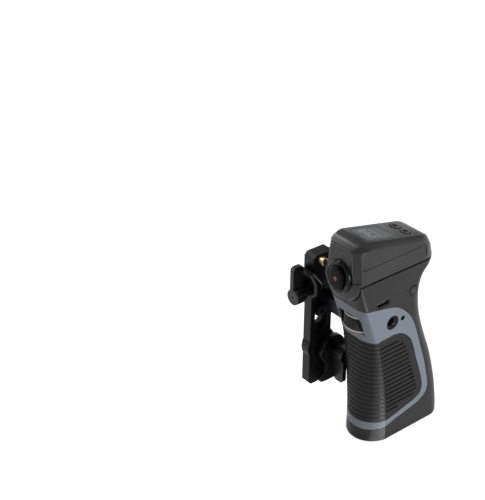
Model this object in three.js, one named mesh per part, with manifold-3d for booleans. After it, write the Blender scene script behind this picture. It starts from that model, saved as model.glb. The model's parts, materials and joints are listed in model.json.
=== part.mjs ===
// Focus control handgrip with a clamping side bracket, in millimetres.
// The grip stands on its flat base: +Z is up, -Y faces forward, +X is the outer side.
// The origin is the middle of the flat base.

import * as THREE from 'three';
import { mergeVertices } from 'three/addons/utils/BufferGeometryUtils.js';
import Module from 'manifold-3d';

const wasm = await Module();
wasm.setup();

// Clearances and cutting allowances
const seatGap = 0.3;
const runningGap = 0.35;
const cutOverrun = 5;
const weldDistance = 0.0001;

// Grip body
const gripHeight = 114;
const gripReach = 50;
const gripHalfWidth = 14.2;
const gripFrontRounding = 14;
const gripBackRoundingShare = 0.18;
const gripBackRounding = gripBackRoundingShare * gripReach;
const shellWall = 3.4;
const skinThickness = 1.6;
const baseCapHeight = 4;
const baseEdgeRounding = 1.2;
const baseSpigotHeight = 2.5;
const baseSpigotWall = 2;
const shellSeam = 0.3;

// Blue side frame, ribbed panel and their borders
const skinBorderGap = 0.3;
const ribCount = 18;
const ribGrooveWidth = 1.3;
const ribGrooveDepth = 0.9;
const ribPitch = 3.1;
const ribLowest = 18.1;
const ribMargin = 4.2;
const ribFrontMargin = 0.6;
const ribFrontShare = -0.62;

// Head housing
const headOverhang = 1.2;
const headFront = -gripReach - headOverhang;
const headLengthShare = 1.198;
const headLength = headLengthShare * gripReach;
const headHalfWidth = gripHalfWidth;
const headRise = 22.6;
const headWall = 2.2;
const topFrontShare = 0.165;
const topBackShare = 0.831;
const topBackRiseShare = 0.599;
const headTopFrontY = headFront + topFrontShare * headLength;
const headTopSlope = THREE.MathUtils.radToDeg(Math.atan2(
  (1 - topBackRiseShare) * headRise, (topBackShare - topFrontShare) * headLength));
const noseInset = 0.6;
const noseRadius = headHalfWidth - noseInset;
const noseChamferShare = 0.2254;
const noseChamfer = noseChamferShare * headHalfWidth;
const noseLap = 1.4;
const noseDepth = 9.8;
const noseGap = 0.45;

// Record button on the nose
const recordRise = 1;
const recordHeight = gripHeight + recordRise;
const recordCapWidthShare = 0.75;
const recordCapWidth = recordCapWidthShare * noseRadius;
const recordCapHeightShare = 1.03;
const recordCapHeight = recordCapHeightShare * noseRadius;
const recordCapGap = 0.5;
const recordProud = 3.2;
const recordTravel = 1;
const recordFlangeLap = 1.2;
const recordFlangeThickness = 1.2;
const bezelSideRoom = 4.9;
const bezelHalfWidth = noseRadius - bezelSideRoom;
const bezelHalfHeight = 9.6;
const bezelProud = 1.6;
const bezelTaper = 0.8;
const recordSwitchDepth = 4;
const recordSwitchHeight = 9;

// Top display and its two keys, placed along the sloping top
const displayWidthShare = 1.0563;
const displayWidth = displayWidthShare * headHalfWidth;
const displayLengthShare = 0.334;
const displayLength = displayLengthShare * headLength;
const displayPlaceShare = 0.2037;
const displayCentre = displayPlaceShare * headLength;
const displayGlassThickness = 1;
const displayRounding = 1.5;
const displayLedge = 1.2;
const displayModuleThickness = 2.4;
const keyRadiusShare = 0.1972;
const keyRadius = keyRadiusShare * headHalfWidth;
const keySpacingShare = 0.5423;
const keySpacing = keySpacingShare * headHalfWidth;
const keyPlaceShare = 0.5643;
const keyPlace = keyPlaceShare * headLength;
const keyProud = 0.25;
const keyTravel = 0.6;
const keyFlangeLap = 0.5;
const keyFlangeThickness = 0.8;
const keyDishDepth = 0.5;
const boardThickness = 1.6;
const topBoardDepth = 6.4;
const topBoardStart = 3;
const topBoardLengthShare = 0.5676;
const topBoardLength = topBoardLengthShare * headLength;
const keySwitchRadius = 1.6;

// Outer side: charging socket, status lights, power key
const portRowHeightShare = 0.8544;
const portRowHeight = portRowHeightShare * gripHeight;
const portRowX = gripHalfWidth;
const usbPlaceShare = -0.638;
const usbY = usbPlaceShare * gripReach;
const usbWidth = 9.2;
const usbHeight = 3.3;
const usbWall = 0.35;
const usbDepth = 6.05;
const usbTongueThickness = 0.7;
const usbTongueWidth = 6.6;
const usbTongueLength = 4.2;
const usbBackThickness = 1;
const lightDrop = 0.4;
const lightHeight = portRowHeight - lightDrop;
const lightCount = 3;
const lightPitchShare = 0.08;
const lightPitch = lightPitchShare * gripReach;
const lightFirstShare = -0.445;
const lightFirstY = lightFirstShare * gripReach;
const lightRadius = 0.5;
const lightBarThickness = 1;
const lightBarHeight = 1.6;
const powerPlaceShare = -0.182;
const powerY = powerPlaceShare * gripReach;
const powerRadius = 2.8;
const powerProud = 0.2;
const powerFlangeLap = 0.5;
const powerFlangeThickness = 1;
const mainBoardDepth = 8.3;
const mainBoardX = gripHalfWidth - mainBoardDepth;
const mainBoardRise = 6;
const mainBoardPlaceShare = -0.77;
const mainBoardFrontY = mainBoardPlaceShare * gripReach;
const mainBoardLengthShare = 0.68;
const mainBoardLength = mainBoardLengthShare * gripReach;

// Threaded inserts on both sides of the grip, with their locating holes
const mountPlaceShare = -0.47;
const mountY = mountPlaceShare * gripReach;
const mountHeightShare = 0.7202;
const mountHeight = mountHeightShare * gripHeight;
const insertRadius = 4.4;
const insertBore = 3.1;
const insertDepth = 3.6;
const insertCounterbore = 0.6;
const locatorOffset = 7.7;
const locatorRadius = 1.45;
const locatorDepth = 3;

// Thumb wheel, a knurled band between two metal rings on an upright axle
const wheelSideRoom = 3.8;
const wheelRadius = gripHalfWidth - wheelSideRoom;
const wheelHeight = 9.2;
const wheelProud = 1.7;
const wheelFrontShare = -0.83;
const wheelCentreY = wheelFrontShare * gripReach - wheelProud + wheelRadius;
const wheelRise = 1.1;
const wheelCentreZ = mountHeight + wheelRise;
const wheelRingHeight = 1.2;
const wheelRingWidth = 2.4;
const wheelBandInset = 0.35;
const knurlCount = 32;
const knurlDepth = 0.45;
const wheelBossRadius = wheelRadius - wheelRingWidth - seatGap;
const axleRadius = 1.5;
const windowWidthShare = 0.634;
const windowHalfWidth = windowWidthShare * gripHalfWidth;
const windowHeight = 11;
const windowRounding = 2;
const wheelWell = 1;
const carrierSideRoom = 3.2;
const carrierHalfWidth = gripHalfWidth - carrierSideRoom;
const carrierThickness = 2;
const carrierLead = 4;
const carrierFrontY = wheelCentreY - carrierLead;
const carrierBackY = mountY + locatorOffset + locatorRadius + runningGap + carrierThickness;
const encoderWidth = 12;
const encoderLength = 6;
const encoderHeight = 3.4;

// Battery and its cradle
const cellSideRoom = 5.1;
const cellRadius = gripHalfWidth - cellSideRoom;
const cellLength = 50;
const cellTerminalRadius = 3;
const cellTerminalHeight = 1;
const cellFootShare = -0.11;
const cellFootY = cellFootShare * gripReach;
const cellFootZ = 10.5;
const cellLean = 8.5;
const cradleRibCount = 3;
const cradleRibThickness = 3;
const cradleRibPitch = 22;
const cradleSpineWidth = 8;

// Screws that close the grip
const closingScrewHead = 2.6;
const closingScrewShank = 1.25;
const closingScrewHeadHeight = 1.6;
const closingScrewLength = 9;
const baseScrewSpacing = 30;

// Lower jaw, collar and lever hub, which stack up between the upright and the grip
const lowerJawGap = 1.4;
const lowerJawThickness = 3.2;
const lowerCollarLength = 3.2;
const hubLength = 6.4;
const leverRoom = 1.3;

// Bracket upright, with the slot and the fixed jaw of the rail clamp
const uprightThickness = 6;
const uprightX = -gripHalfWidth - leverRoom - hubLength - lowerCollarLength - seatGap
  - lowerJawThickness - lowerJawGap - uprightThickness;
const uprightWidth = 15.8;
const uprightLead = 12.3;
const uprightCentreY = mountY - uprightLead;
const uprightDrop = 58.8;
const uprightFootZ = mountHeight - uprightDrop;
const uprightRise = 28.7;
const uprightTopZ = mountHeight + uprightRise;
const uprightBevel = 2;
const clampZoneZ = mountHeight;
const clampZoneStep = 1.2;
const clampZoneX = uprightX - clampZoneStep;
const clampZoneThickness = 8.2;
const slotWidth = 9.2;
const slotRecess = 2;
const slotDrop = 21.6;
const slotLowZ = mountHeight - slotDrop;
const slotRise = 3.4;
const slotHighZ = mountHeight + slotRise;
const slotThroughWidth = 5.4;
const slotThroughDrop = 19.4;
const slotThroughLowZ = mountHeight - slotThroughDrop;
const slotThroughLength = 13;

// Accessory rail that the upper clamp holds
const railSetBack = 1.6;
const railCentreY = uprightCentreY + railSetBack;
const railOverhang = 2.9;
const railHalfWidth = uprightWidth / 2 + railOverhang;
const railUndercut = 2.8;
const railDepth = 4.4;
const railLip = 1.5;
const hookThickness = 3.6;
const hookRise = 4.8;
const hookLowZ = mountHeight + hookRise;
const hookLength = 17;
const hookHighZ = hookLowZ + hookLength;

// Upper moving jaw
const jawLowZ = mountHeight;
const jawLength = 20.2;
const jawHighZ = jawLowZ + jawLength;
const jawBevel = 2;
const jawClearance = 0.4;
const jawBackWidth = 6.4;
const jawBackDrop = 5.5;
const cheekThickness = 2.5;
const cheekBevel = 1.1;
const cheekTopWidth = 3;
const cheekSetBack = 4.2;
const cheekReach = 9.8;
const cheekRise = 3.6;
const cheekLowZ = jawLowZ + cheekRise;
const cheekShoulder = 7.6;

// Clamp screws and levers, one design used twice
const upperScrewDepth = 4.4;
const upperScrewX = uprightX + upperScrewDepth;
const upperScrewRise = 6.1;
const upperScrewZ = mountHeight + upperScrewRise;
const screwRadius = 1.7;
const hubRadius = 4.7;
const hubFluteCount = 8;
const hubFluteDepth = 0.7;
const flutePoints = 4;
const collarRadius = 3.4;
const upperCollarLength = 5.1;
const leverReach = 18.4;
const leverThickness = 2.8;
const leverOffset = 1.2;
const leverWidth = hubLength + upperCollarLength - cheekSetBack;
const leverRounding = 2;
const leverScrewHead = 2.4;
const leverScrewHeadHeight = 0.8;

// Spring lock pin on the fixed jaw
const pinLead = 3.7;
const pinY = uprightCentreY - pinLead;
const pinDrop = 2.7;
const pinZ = uprightTopZ - pinDrop;
const pinRadius = 1.5;
const pinKnobRadius = 2.3;
const pinKnobLength = 3;
const pinNeckLength = 1.8;
const pinDepth = 4.4;
const pinTravel = 2;

// Lower clamp
const lowerScrewBack = 8;
const lowerScrewY = uprightCentreY + lowerScrewBack;
const lowerScrewDrop = 37;
const lowerScrewZ = mountHeight - lowerScrewDrop;
const bossRadius = 10.4;
const bossBack = 1.2;
const bossY = uprightCentreY + bossBack;
const bossDrop = 33.2;
const bossZ = mountHeight - bossDrop;
const lowerJawHeight = 29.8;
const lowerJawWidth = 19;
const lowerJawLead = 11.2;
const lowerJawRise = 9.8;
const lowerJawHighZ = lowerScrewZ + lowerJawRise;
const footBlockThickness = 1.2;

// Neck arm between the grip and the upright
const armHeight = 11.4;
const armRise = 2.4;
const armTopZ = mountHeight + armRise;
const armLead = 11.5;
const armFrontY = mountY - armLead;
const armDepth = 6;
const armPadThickness = 3.4;
const armPadRise = 13.4;
const armPadHighZ = mountHeight + armPadRise;
const armPadX = -gripHalfWidth - seatGap;
const armPadDepth = 23;
const armTongueDrop = 13.4;
const armTongueLowZ = mountHeight - armTongueDrop;
const armTongueGap = 0.25;
const armTongueThickness = 1;
const armScrewHead = 5;
const armScrewHeadHeight = 3;
const armScrewShank = 2.8;
const armPinRadius = 1.2;
const slotScrewDrop = 9.4;
const slotScrewZ = mountHeight - slotScrewDrop;
const slotScrewHead = 3.5;
const slotScrewHeadHeight = 1.6;
const slotScrewShank = 1.9;
const slotNutWidth = 8;
const slotNutThickness = 2.6;

// Facet counts
const cornerSteps = 3;
const frontCornerSteps = 4;
const roundSteps = 16;
const smallRoundSteps = 12;
const frameOutlineSteps = 28;
const panelOutlineSteps = 24;
const jawOutlineSteps = 40;
const wheelSteps = 28;

// Grip sections from the base up. Each row holds the shares of the height, of the reach
// in front and behind, of the half width, of the half width and of the front rounding that
// the front corner takes across and deep, and of the back rounding.
const gripStationShares = [
  [0.053, -0.702, 0.474, 1, 0.97, 0.985, 1],
  [0.123, -0.698, 0.45, 1, 0.97, 0.93, 1],
  [0.237, -0.704, 0.398, 1, 0.96, 0.82, 1],
  [0.408, -0.722, 0.284, 1, 0.93, 0.643, 1],
  [0.526, -0.744, 0.176, 1, 0.845, 0.52, 1],
  [0.638, -0.772, 0.082, 1, 0.74, 0.4, 1],
  [0.715, -0.82, 0.034, 1, 0.6, 0.314, 1],
  [0.807, -0.884, 0.006, 1, 0.458, 0.27, 1],
  [0.872, -0.934, 0.02, 1, 0.39, 0.235, 1],
  [0.925, -0.972, 0.066, 1, 0.35, 0.2, 1],
  [0.965, -0.996, 0.15, 1, 0.32, 0.18, 1],
  [1, -1.02, 0.172, 1, 0.3, 0.157, 1],
];
const gripFootShares = [0, -0.704, 0.48, 1, 0.97, 1, 1];

// Outlines on the grip's side, as shares of the reach and of the height
const frameOutlineShares = [
  [-1.5, 0.8439], [-1, 0.8439], [-0.834, 0.8412], [-0.662, 0.8254], [-0.548, 0.8158],
  [-0.404, 0.7947], [-0.278, 0.7535], [-0.17, 0.6947], [-0.094, 0.6272], [0.01, 0.5035],
  [0.098, 0.3939], [0.174, 0.2737], [0.194, 0.2219], [0.166, 0.1789], [0.06, 0.1465],
  [-0.136, 0.1237], [-0.33, 0.1061], [-0.486, 0.086], [-0.66, 0.0781], [-1.5, 0.0781],
];
const panelOutlineShares = [
  [-1.5, 0.6316], [-0.9, 0.6316], [-0.638, 0.6351], [-0.512, 0.6412], [-0.394, 0.6404],
  [-0.284, 0.6219], [-0.18, 0.5798], [-0.118, 0.5281], [-0.05, 0.4404], [0.058, 0.307],
  [0.092, 0.2421], [0.072, 0.1974], [-0.022, 0.1737], [-0.192, 0.1553], [-0.362, 0.1368],
  [-0.506, 0.1289], [-0.68, 0.1272], [-1.5, 0.1272],
];

// Head sections from the front back. Each row holds the shares of the length, of the half
// width at the bottom and at the top, of the rise, and of the nose chamfer along the top.
const headStationShares = [
  [0, 0.727, 0.56, 0.832, 0.28],
  [0.052, 0.955, 0.81, 0.947, 0.8],
  [0.105, 0.985, 0.923, 0.987, 0.94],
  [topFrontShare, 0.993, 0.93, 1, 0.97],
  [topBackShare, 1, 0.916, topBackRiseShare, 0.97],
  [0.898, 0.95, 0.84, 0.53, 1],
  [0.953, 0.82, 0.69, 0.415, 0.97],
  [0.987, 0.635, 0.5, 0.292, 0.8],
  [1, 0.4, 0.31, 0.133, 0.4],
];

// Outline of the lower moving jaw, as shares of its width behind its front tip and of its
// height below its top
const lowerJawOutlineShares = [
  [0.21, 0.07], [0.33, 0.01], [0.5, 0], [0.74, 0.03], [0.9, 0.13], [1, 0.3], [0.97, 0.62],
  [0.78, 0.94], [0.66, 1], [0.14, 1], [0.02, 0.95], [0.08, 0.86], [0.22, 0.77],
  [0.25, 0.68], [0.2, 0.57], [0.08, 0.46], [0.01, 0.34], [0.1, 0.2],
];

// Materials
function material(color, roughness, metalness) {
  return new THREE.MeshStandardMaterial({ color, roughness, metalness });
}
const darkPlastic = () => material(0x3c3c3d, 0.6, 0);
const blackPlastic = () => material(0x141415, 0.45, 0);
const blueGreyPlastic = () => material(0x7c8590, 0.55, 0);
const ribbedRubber = () => material(0x2b2b2c, 0.85, 0);
const blackAnodised = () => material(0x2a2a2c, 0.42, 0.7);
const brightSteel = () => material(0xb9bcbf, 0.3, 1);
const brass = () => material(0xb58e5a, 0.3, 1);
const champagne = () => material(0xb9ab8e, 0.3, 1);
const darkGlass = () => material(0x101215, 0.12, 0);
const circuitBoard = () => material(0x1f3a2c, 0.6, 0);
const lightGuide = () => material(0xd8dadc, 0.35, 0);
const cellWrap = () => material(0x39506e, 0.5, 0);

// Outlines in a plane
function arc(centreU, centreV, radius, fromAngle, toAngle, steps) {
  const points = [];
  for (let step = 0; step <= steps; step += 1) {
    const angle = THREE.MathUtils.degToRad(fromAngle + (toAngle - fromAngle) * (step / steps));
    points.push([centreU + radius * Math.cos(angle), centreV + radius * Math.sin(angle)]);
  }
  return points;
}

function circle(centreU, centreV, radius, steps = roundSteps) {
  return arc(centreU, centreV, radius, 0, 360, steps).slice(0, -1);
}

function rectangle(fromU, toU, fromV, toV) {
  return [[fromU, fromV], [toU, fromV], [toU, toV], [fromU, toV]];
}

function roundedRectangle(fromU, toU, fromV, toV, rounding) {
  return [
    ...arc(toU - rounding, fromV + rounding, rounding, 270, 360, cornerSteps),
    ...arc(toU - rounding, toV - rounding, rounding, 0, 90, cornerSteps),
    ...arc(fromU + rounding, toV - rounding, rounding, 90, 180, cornerSteps),
    ...arc(fromU + rounding, fromV + rounding, rounding, 180, 270, cornerSteps),
  ];
}

function bevelledRectangle(fromU, toU, fromV, toV, bevel) {
  return [
    [fromU + bevel, fromV], [toU - bevel, fromV], [toU, fromV + bevel], [toU, toV - bevel],
    [toU - bevel, toV], [fromU + bevel, toV], [fromU, toV - bevel], [fromU, fromV + bevel],
  ];
}

function uprightStadium(centreV, width, height, steps = smallRoundSteps) {
  const radius = width / 2;
  const lift = height / 2 - radius;
  return [
    ...arc(0, centreV + lift, radius, 0, 180, steps / 2),
    ...arc(0, centreV - lift, radius, 180, 360, steps / 2),
  ];
}

function ellipse(centreV, halfU, halfV, steps = roundSteps) {
  return circle(0, 0, 1, steps).map(([u, v]) => [u * halfU, centreV + v * halfV]);
}

function smoothOutline(points, steps) {
  const curve = new THREE.SplineCurve(points.map(([u, v]) => new THREE.Vector2(u, v)));
  return curve.getPoints(steps).map((point) => [point.x, point.y]);
}

// Solids
function signedVolume(positions, triangles) {
  let volume = 0;
  const corners = [new THREE.Vector3(), new THREE.Vector3(), new THREE.Vector3()];
  for (let start = 0; start < triangles.length; start += 3) {
    corners.forEach((corner, place) => corner.fromArray(positions, 3 * triangles[start + place]));
    volume += corners[0].dot(corners[1].cross(corners[2])) / 6;
  }
  return volume;
}

function solidFrom(geometry) {
  const bare = geometry.clone();
  bare.deleteAttribute('normal');
  bare.deleteAttribute('uv');
  const merged = mergeVertices(bare, weldDistance);
  const positions = Float32Array.from(merged.attributes.position.array);
  const triangles = Uint32Array.from(merged.index.array);
  if (signedVolume(positions, triangles) < 0) {
    triangles.reverse();
  }
  return new wasm.Manifold(new wasm.Mesh({
    numProp: 3, vertProperties: positions, triVerts: triangles,
  }));
}

function meshFrom(name, solid, itsMaterial) {
  const data = solid.getMesh();
  const geometry = new THREE.BufferGeometry();
  geometry.setAttribute('position', new THREE.BufferAttribute(data.vertProperties, 3));
  geometry.setIndex(new THREE.BufferAttribute(data.triVerts, 1));
  geometry.computeVertexNormals();
  const mesh = new THREE.Mesh(geometry, itsMaterial);
  mesh.name = name;
  return mesh;
}

function moved(solid, matrix) {
  return solid.transform(matrix.elements);
}

function extruded(outline, depth, across, up, along, origin) {
  const shape = new THREE.Shape(outline.map(([u, v]) => new THREE.Vector2(u, v)));
  const geometry = new THREE.ExtrudeGeometry(shape, { depth, bevelEnabled: false, steps: 1 });
  const matrix = new THREE.Matrix4().makeBasis(across, up, along).setPosition(origin);
  return solidFrom(geometry.applyMatrix4(matrix));
}

const axisX = new THREE.Vector3(1, 0, 0);
const axisY = new THREE.Vector3(0, 1, 0);
const axisZ = new THREE.Vector3(0, 0, 1);
const minusY = new THREE.Vector3(0, -1, 0);

// Prism along X from an outline in Y and Z
function alongX(outline, fromX, toX) {
  return extruded(outline, toX - fromX, axisY, axisZ, axisX, new THREE.Vector3(fromX, 0, 0));
}

// Prism along Y from an outline in X and Z
function alongY(outline, fromY, toY) {
  return extruded(outline, toY - fromY, axisX, axisZ, minusY, new THREE.Vector3(0, toY, 0));
}

// Prism along Z from an outline in X and Y
function alongZ(outline, fromZ, toZ) {
  return extruded(outline, toZ - fromZ, axisX, axisY, axisZ, new THREE.Vector3(0, 0, fromZ));
}

// Turned body: the profile runs in radius and height and meets the axis at both ends
function turned(profile, steps = roundSteps) {
  const points = profile.map(([radius, height]) => new THREE.Vector2(radius, height));
  const geometry = new THREE.LatheGeometry(points, steps);
  return solidFrom(geometry.rotateX(Math.PI / 2));
}

// Skin stretched over rings of points, which all have the same count and are convex
function loft(rings) {
  const count = rings[0].length;
  const positions = rings.flat().flatMap((point) => [point.x, point.y, point.z]);
  const triangles = [];
  for (let ring = 0; ring + 1 < rings.length; ring += 1) {
    for (let point = 0; point < count; point += 1) {
      const near = ring * count + point;
      const next = ring * count + (point + 1) % count;
      triangles.push(near, next, next + count, near, next + count, near + count);
    }
  }
  const last = (rings.length - 1) * count;
  for (let point = 1; point + 1 < count; point += 1) {
    triangles.push(0, point + 1, point, last, last + point, last + point + 1);
  }
  const geometry = new THREE.BufferGeometry();
  geometry.setAttribute('position', new THREE.Float32BufferAttribute(positions, 3));
  geometry.setIndex(triangles);
  return solidFrom(geometry);
}

// Matrices that stand a turned body, made along Z, on another axis
function pointingX(x, y, z) {
  return new THREE.Matrix4().makeRotationY(Math.PI / 2).setPosition(x, y, z);
}

function pointingMinusX(x, y, z) {
  return new THREE.Matrix4().makeRotationY(-Math.PI / 2).setPosition(x, y, z);
}

// Grip form
function gripSection(shares, inset, z) {
  const [, frontShare, backShare, halfShare, acrossShare, deepShare, backRoundShare] = shares;
  const front = frontShare * gripReach + inset;
  const back = backShare * gripReach - inset;
  const half = halfShare * gripHalfWidth - inset;
  const across = Math.max(acrossShare * gripHalfWidth - inset, seatGap);
  const deep = Math.max(deepShare * gripFrontRounding - inset, seatGap);
  const backRound = Math.max(backRoundShare * gripBackRounding - inset, seatGap);
  const frontCorner = (fromAngle) => (
    arc(0, 0, 1, fromAngle, fromAngle + 90, frontCornerSteps).map(([x, y]) => (
      [x * across, front + deep + y * deep])));
  const corners = [
    ...frontCorner(270).map(([x, y]) => [half - across + x, y]),
    ...arc(half - backRound, back - backRound, backRound, 0, 90, cornerSteps),
    ...arc(backRound - half, back - backRound, backRound, 90, 180, cornerSteps),
    ...frontCorner(180).map(([x, y]) => [across - half + x, y]),
  ];
  return corners.map(([x, y]) => new THREE.Vector3(x, y, z));
}

function gripForm(inset) {
  const rings = gripStationShares.map((shares) => (
    gripSection(shares, inset, shares[0] * gripHeight)));
  const top = gripStationShares[gripStationShares.length - 1];
  if (inset > 0) {
    rings.unshift(gripSection(gripFootShares, inset, -cutOverrun));
    rings.push(gripSection(top, inset, gripHeight + cutOverrun));
  } else {
    rings.unshift(gripSection(gripFootShares, inset, baseEdgeRounding));
    rings.unshift(gripSection(gripFootShares, baseEdgeRounding, 0));
  }
  return loft(rings);
}

function layer(fromZ, toZ) {
  const far = 2 * gripReach;
  return alongZ(rectangle(-far, far, -far, far), fromZ, toZ);
}

const gripOuter = gripForm(0);
const gripUnderSkin = gripForm(skinThickness);
const gripUnderSeat = gripForm(skinThickness + seatGap);
const gripCavity = gripForm(shellWall);
const gripLining = gripForm(shellWall + seatGap);

// Side frame and panel outlines
function sideOutline(shares, steps) {
  const points = shares.map(([reachShare, heightShare]) => (
    [reachShare * gripReach, heightShare * gripHeight]));
  const curved = smoothOutline(points.slice(1, -1), steps);
  return [points[0], ...curved, points[points.length - 1]];
}

function acrossGrip(outline) {
  return alongX(outline, -2 * gripHalfWidth, 2 * gripHalfWidth);
}

// The outline grown (or shrunk, with a minus sign) about itself by a small distance
function offsetOutline(outline, distance) {
  const area = THREE.ShapeUtils.area(outline.map(([u, v]) => new THREE.Vector2(u, v)));
  const side = area > 0 ? distance : -distance;
  return outline.map(([u, v], place) => {
    const before = outline[(place + outline.length - 1) % outline.length];
    const after = outline[(place + 1) % outline.length];
    const alongBefore = new THREE.Vector2(u - before[0], v - before[1]).normalize();
    const alongAfter = new THREE.Vector2(after[0] - u, after[1] - v).normalize();
    const middle = alongBefore.clone().add(alongAfter).normalize();
    const stretch = side / Math.max(middle.dot(alongAfter), 0.5);
    return [u + middle.y * stretch, v - middle.x * stretch];
  });
}

const frameOutline = sideOutline(frameOutlineShares, frameOutlineSteps);
const panelOutline = sideOutline(panelOutlineShares, panelOutlineSteps);

// Openings through the grip's wall
function wheelWindow() {
  const low = wheelCentreZ - windowHeight / 2;
  const outline = roundedRectangle(
    -windowHalfWidth, windowHalfWidth, low, low + windowHeight, windowRounding);
  return alongY(outline, -2 * gripReach, wheelCentreY);
}

function wheelRoom() {
  const radius = wheelRadius + wheelWell;
  const low = wheelCentreZ - wheelHeight / 2 - wheelWell;
  return alongZ(circle(0, wheelCentreY, radius), low, low + wheelHeight + 2 * wheelWell);
}

function mountHoles(side, extra) {
  const near = side * (gripHalfWidth - 3 * shellWall);
  const far = side * (gripHalfWidth + cutOverrun);
  const fromX = Math.min(near, far);
  const toX = Math.max(near, far);
  const big = circle(mountY, mountHeight, insertRadius + extra);
  const small = circle(
    mountY + locatorOffset, mountHeight, locatorRadius + extra, smallRoundSteps);
  return alongX(big, fromX, toX).add(alongX(small, fromX, toX));
}

function usbOutline(grow) {
  const halfWidth = usbWidth / 2 + grow;
  const halfHeight = usbHeight / 2 + grow;
  return roundedRectangle(
    usbY - halfWidth, usbY + halfWidth,
    portRowHeight - halfHeight, portRowHeight + halfHeight, halfHeight * 0.96);
}

function lightPlaces() {
  return Array.from({ length: lightCount }, (_, place) => lightFirstY + place * lightPitch);
}

function outerSideHoles() {
  let holes = alongX(usbOutline(runningGap), mainBoardX, 2 * gripHalfWidth);
  const powerHole = circle(powerY, portRowHeight, powerRadius + runningGap);
  holes = holes.add(alongX(powerHole, mainBoardX, 2 * gripHalfWidth));
  lightPlaces().forEach((y) => {
    const hole = circle(y, lightHeight, lightRadius + seatGap / 2, smallRoundSteps / 2);
    holes = holes.add(alongX(hole, mainBoardX, 2 * gripHalfWidth));
  });
  return holes;
}

// Nose of the head: a rounded tongue that dips into the top of the grip
function noseSection(radius, grow, y) {
  const wide = radius + grow;
  const points = arc(0, gripHeight, wide, 180, 360, smallRoundSteps);
  points.push([wide, gripHeight + noseLap], [-wide, gripHeight + noseLap]);
  return points.map(([x, z]) => new THREE.Vector3(x, y, z));
}

function nose(grow, fromY, toY) {
  return loft([
    noseSection(noseRadius - noseChamfer, grow, fromY),
    noseSection(noseRadius, grow, fromY + noseChamfer),
    noseSection(noseRadius, grow, toY),
  ]);
}

// Shell halves
function shellBlank() {
  const blank = gripOuter.intersect(layer(baseCapHeight, gripHeight)).subtract(gripCavity);
  const skinSeat = acrossGrip(offsetOutline(frameOutline, skinBorderGap)).subtract(gripUnderSeat);
  const noseRoom = nose(noseGap, headFront - cutOverrun, headFront + noseDepth + seatGap);
  return blank.subtract(skinSeat).subtract(noseRoom).subtract(wheelWindow()).subtract(wheelRoom());
}

function shellOuter() {
  const half = alongZ(rectangle(shellSeam / 2, 2 * gripReach, -2 * gripReach, 2 * gripReach),
    0, gripHeight + cutOverrun);
  let solid = shellBlank().intersect(half);
  solid = solid.subtract(mountHoles(1, runningGap)).subtract(outerSideHoles());
  return meshFrom('shell_outer', solid, darkPlastic());
}

function shellInner() {
  const half = alongZ(rectangle(-2 * gripReach, -shellSeam / 2, -2 * gripReach, 2 * gripReach),
    0, gripHeight + cutOverrun);
  const solid = shellBlank().intersect(half).subtract(mountHoles(-1, runningGap));
  return meshFrom('shell_inner', solid, darkPlastic());
}

// Blue-grey frame that wraps round the front, and the ribbed panel inside it
function sideFrame() {
  const skin = gripOuter.subtract(gripUnderSkin);
  let solid = skin.intersect(acrossGrip(frameOutline));
  solid = solid.subtract(acrossGrip(offsetOutline(panelOutline, skinBorderGap)));
  solid = solid.subtract(wheelWindow()).subtract(wheelRoom());
  solid = solid.subtract(mountHoles(1, 0)).subtract(mountHoles(-1, 0));
  return meshFrom('side_frame', solid, blueGreyPlastic());
}

// Level grooves: round the front they reach the panel's edge, on the sides they stop short of it
function ribGrooves() {
  let grooves = null;
  for (let rib = 0; rib < ribCount; rib += 1) {
    const middle = ribLowest + rib * ribPitch;
    const slab = layer(middle - ribGrooveWidth / 2, middle + ribGrooveWidth / 2);
    grooves = grooves ? grooves.add(slab) : slab;
  }
  const front = acrossGrip(rectangle(-2 * gripReach, ribFrontShare * gripReach, 0, gripHeight));
  const frontField = front.intersect(acrossGrip(offsetOutline(panelOutline, -ribFrontMargin)));
  const field = acrossGrip(offsetOutline(panelOutline, -ribMargin)).add(frontField);
  return grooves.intersect(field).subtract(gripForm(ribGrooveDepth));
}

function rubberPanel() {
  const skin = gripOuter.subtract(gripUnderSkin);
  const solid = skin.intersect(acrossGrip(panelOutline)).subtract(ribGrooves());
  return meshFrom('rubber_panel', solid, ribbedRubber());
}

// Base cap with a spigot inside the shells
function baseScrewPlaces() {
  const middleY = (gripFootShares[1] + gripFootShares[2]) * gripReach / 2;
  return [middleY - baseScrewSpacing / 2, middleY + baseScrewSpacing / 2];
}

function baseCap() {
  const plate = gripOuter.intersect(layer(0, baseCapHeight));
  const spigot = gripLining.intersect(layer(baseCapHeight / 2, baseCapHeight + baseSpigotHeight));
  const hollow = gripForm(shellWall + seatGap + baseSpigotWall);
  const inside = hollow.intersect(
    layer(baseCapHeight, baseCapHeight + baseSpigotHeight + cutOverrun));
  let solid = plate.add(spigot.subtract(inside));
  baseScrewPlaces().forEach((y) => {
    const head = circle(0, y, closingScrewHead + seatGap, smallRoundSteps);
    const shank = circle(0, y, closingScrewShank + seatGap, smallRoundSteps);
    solid = solid.subtract(alongZ(head, -cutOverrun, closingScrewHeadHeight + seatGap));
    solid = solid.subtract(alongZ(shank, -cutOverrun, 2 * cutOverrun));
  });
  return meshFrom('base_cap', solid, darkPlastic());
}

// A screw that stands along Z with its head down at zero
function screwBody(headRadius, headHeight, shankRadius, length) {
  const socket = headRadius / 2;
  return turned([
    [0, headHeight / 2], [socket, headHeight / 2], [socket, 0], [headRadius, 0],
    [headRadius, headHeight], [shankRadius, headHeight],
    [shankRadius, length], [0, length],
  ], smallRoundSteps);
}

function baseScrew(name, y) {
  const solid = moved(
    screwBody(closingScrewHead, closingScrewHeadHeight, closingScrewShank, closingScrewLength),
    new THREE.Matrix4().makeTranslation(0, y, seatGap / 2));
  return meshFrom(name, solid, brightSteel());
}

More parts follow.
